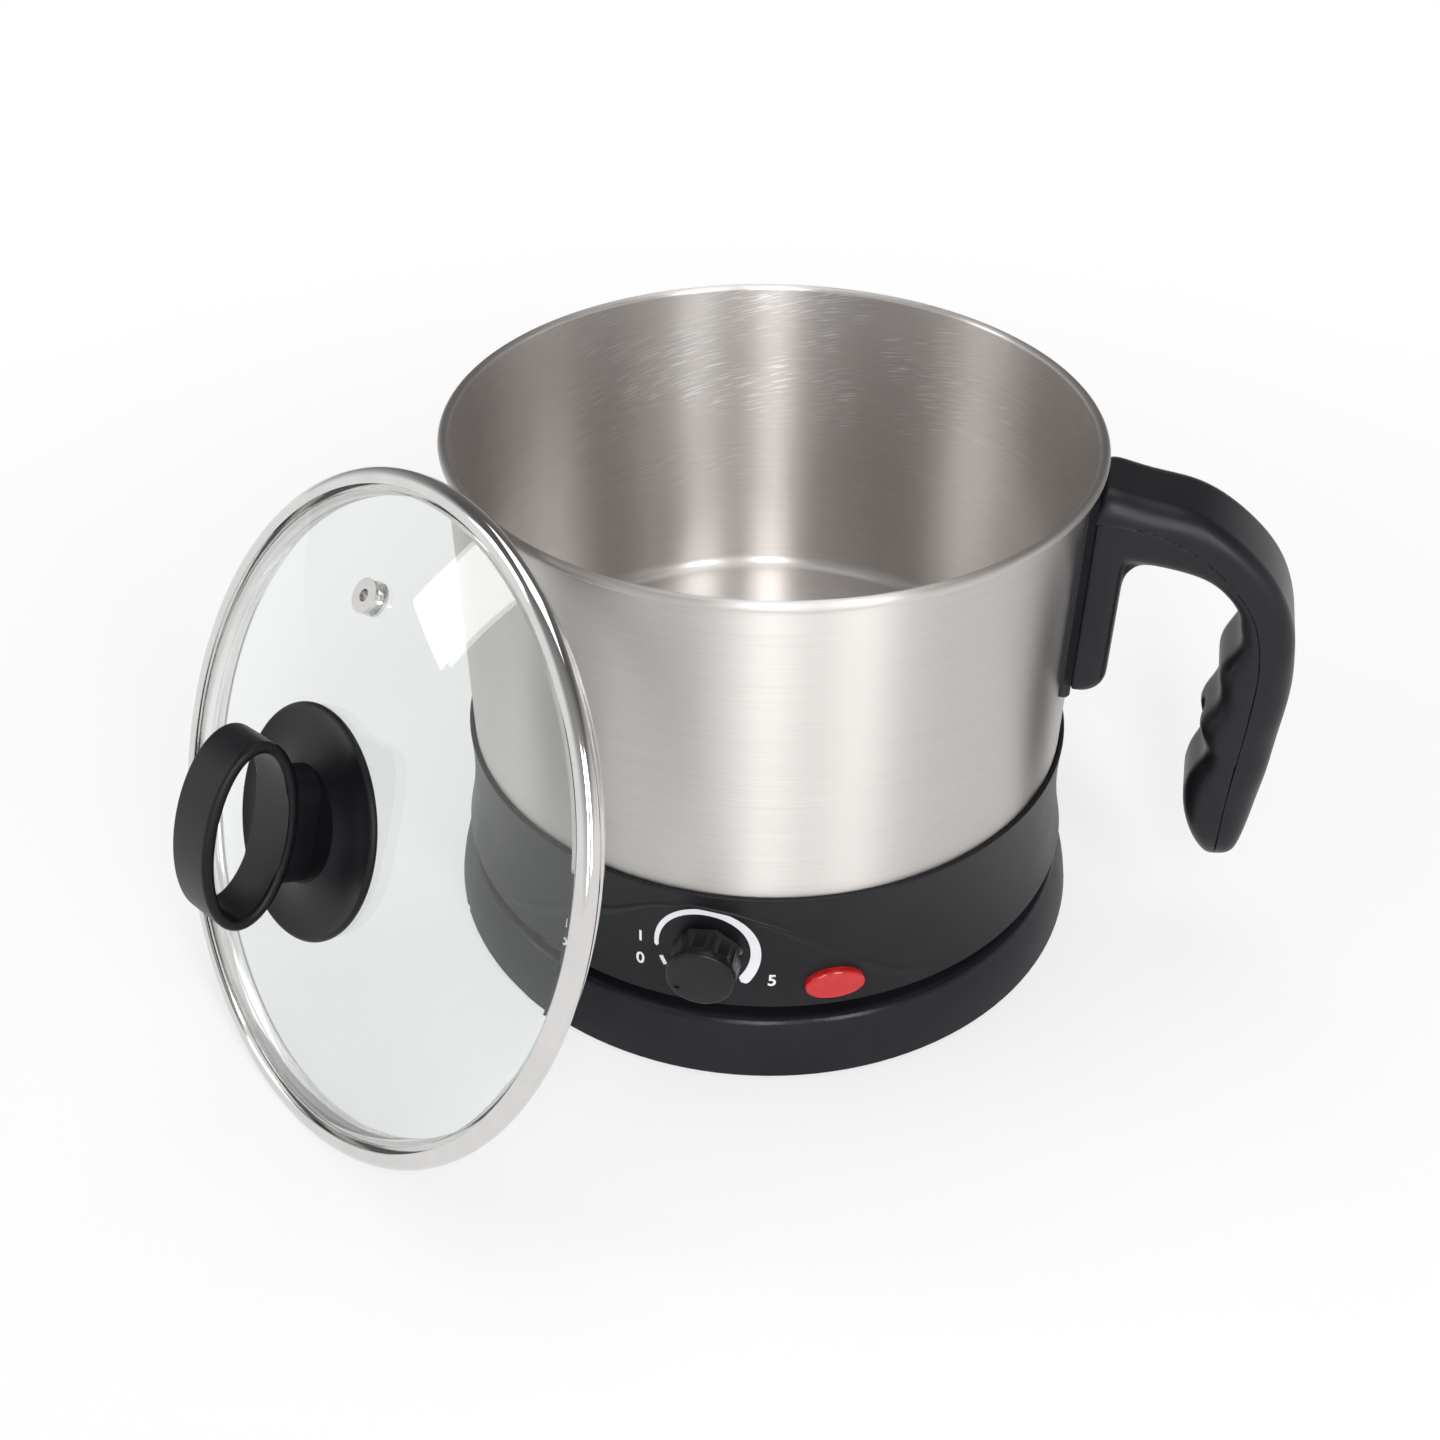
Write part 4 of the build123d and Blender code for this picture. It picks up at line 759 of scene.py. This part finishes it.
world = bpy.data.worlds.new("studio_world")
bpy.context.scene.world = world
world.use_nodes = True
tree = world.node_tree
room = tree.nodes["Background"]
room.inputs["Color"].default_value = (1, 1, 1, 1)
place = tree.nodes.new("ShaderNodeTexCoord")
parts = tree.nodes.new("ShaderNodeSeparateXYZ")
tree.links.new(place.outputs["Generated"], parts.inputs["Vector"])
overhead = tree.nodes.new("ShaderNodeMapRange")
overhead.inputs["From Min"].default_value = 0.2
overhead.inputs["From Max"].default_value = 0.65
tree.links.new(parts.outputs["Z"], overhead.inputs["Value"])
horizon = between(tree, parts.outputs["Y"], 1.0, 0.2, start=0.0, end=0.8)
ceiling = between(tree, parts.outputs["Y"], 0.4, 0.12, start=-0.7, end=0.05)
tree.links.new(horizon, overhead.inputs["To Min"])
tree.links.new(ceiling, overhead.inputs["To Max"])
rays = tree.nodes.new("ShaderNodeLightPath").outputs
level = tree.nodes.new("ShaderNodeMix")
level.inputs["A"].default_value = 0.4
tree.links.new(rays["Is Glossy Ray"], level.inputs["Factor"])
tree.links.new(overhead.outputs["Result"], level.inputs["B"])
tree.links.new(level.outputs["Result"], room.inputs["Strength"])
white = tree.nodes.new("ShaderNodeBackground")
white.inputs["Color"].default_value = (1, 1, 1, 1)
white.inputs["Strength"].default_value = 1.0
choice = tree.nodes.new("ShaderNodeMixShader")
seen = worked(tree, "MAXIMUM", rays["Is Camera Ray"], rays["Is Transmission Ray"])
tree.links.new(seen, choice.inputs["Fac"])
tree.links.new(room.outputs["Background"], choice.inputs[1])
tree.links.new(white.outputs["Background"], choice.inputs[2])
tree.links.new(choice.outputs["Shader"], tree.nodes["World Output"].inputs["Surface"])


def lamp(name, place, aim, size, energy):
    """Soft rectangular lamp at a place, turned to what it lights."""
    bpy.ops.object.light_add(type="AREA", location=place)
    light = bpy.context.object
    light.name = name
    light.data.shape = "RECTANGLE"
    light.data.size = size[0]
    light.data.size_y = size[1]
    light.data.energy = energy
    way = [a - p for a, p in zip(aim, place)]
    flat = math.hypot(way[0], way[1])
    light.rotation_euler = (math.atan2(flat, -way[2]), 0, math.atan2(way[1], way[0]) - math.pi / 2)


lamp("camera_lamp", place=(0.27, -1.25, 0.95), aim=(0, 0, 0.1), size=(0.24, 0.9), energy=8.5)
lamp("right_lamp", place=(0.9, -0.97, 0.95), aim=(0, 0, 0.1), size=(0.3, 0.9), energy=8)
lamp("left_lamp", place=(-1.2, -0.3, 0.8), aim=(0, 0, 0.1), size=(0.3, 0.5), energy=2.4)
lamp("top_lamp", place=(0.0, 0.35, 1.5), aim=(0, 0, 0.05), size=(1.0, 1.0), energy=6)

CAMERA_PLACE = (0.079289, -0.373023, 0.34379)
CAMERA_DEGREES = (52.40152, -0.505086, 13.682076)

bpy.ops.object.camera_add(location=CAMERA_PLACE, rotation=[math.radians(turn) for turn in CAMERA_DEGREES])
camera = bpy.context.object
camera.data.sensor_width = 36
camera.data.lens = 42.5
camera.data.shift_x = -0.01102
camera.data.shift_y = -0.00354
camera.data.clip_start = 0.01
bpy.context.scene.camera = camera
bpy.context.scene.view_settings.view_transform = "Standard"
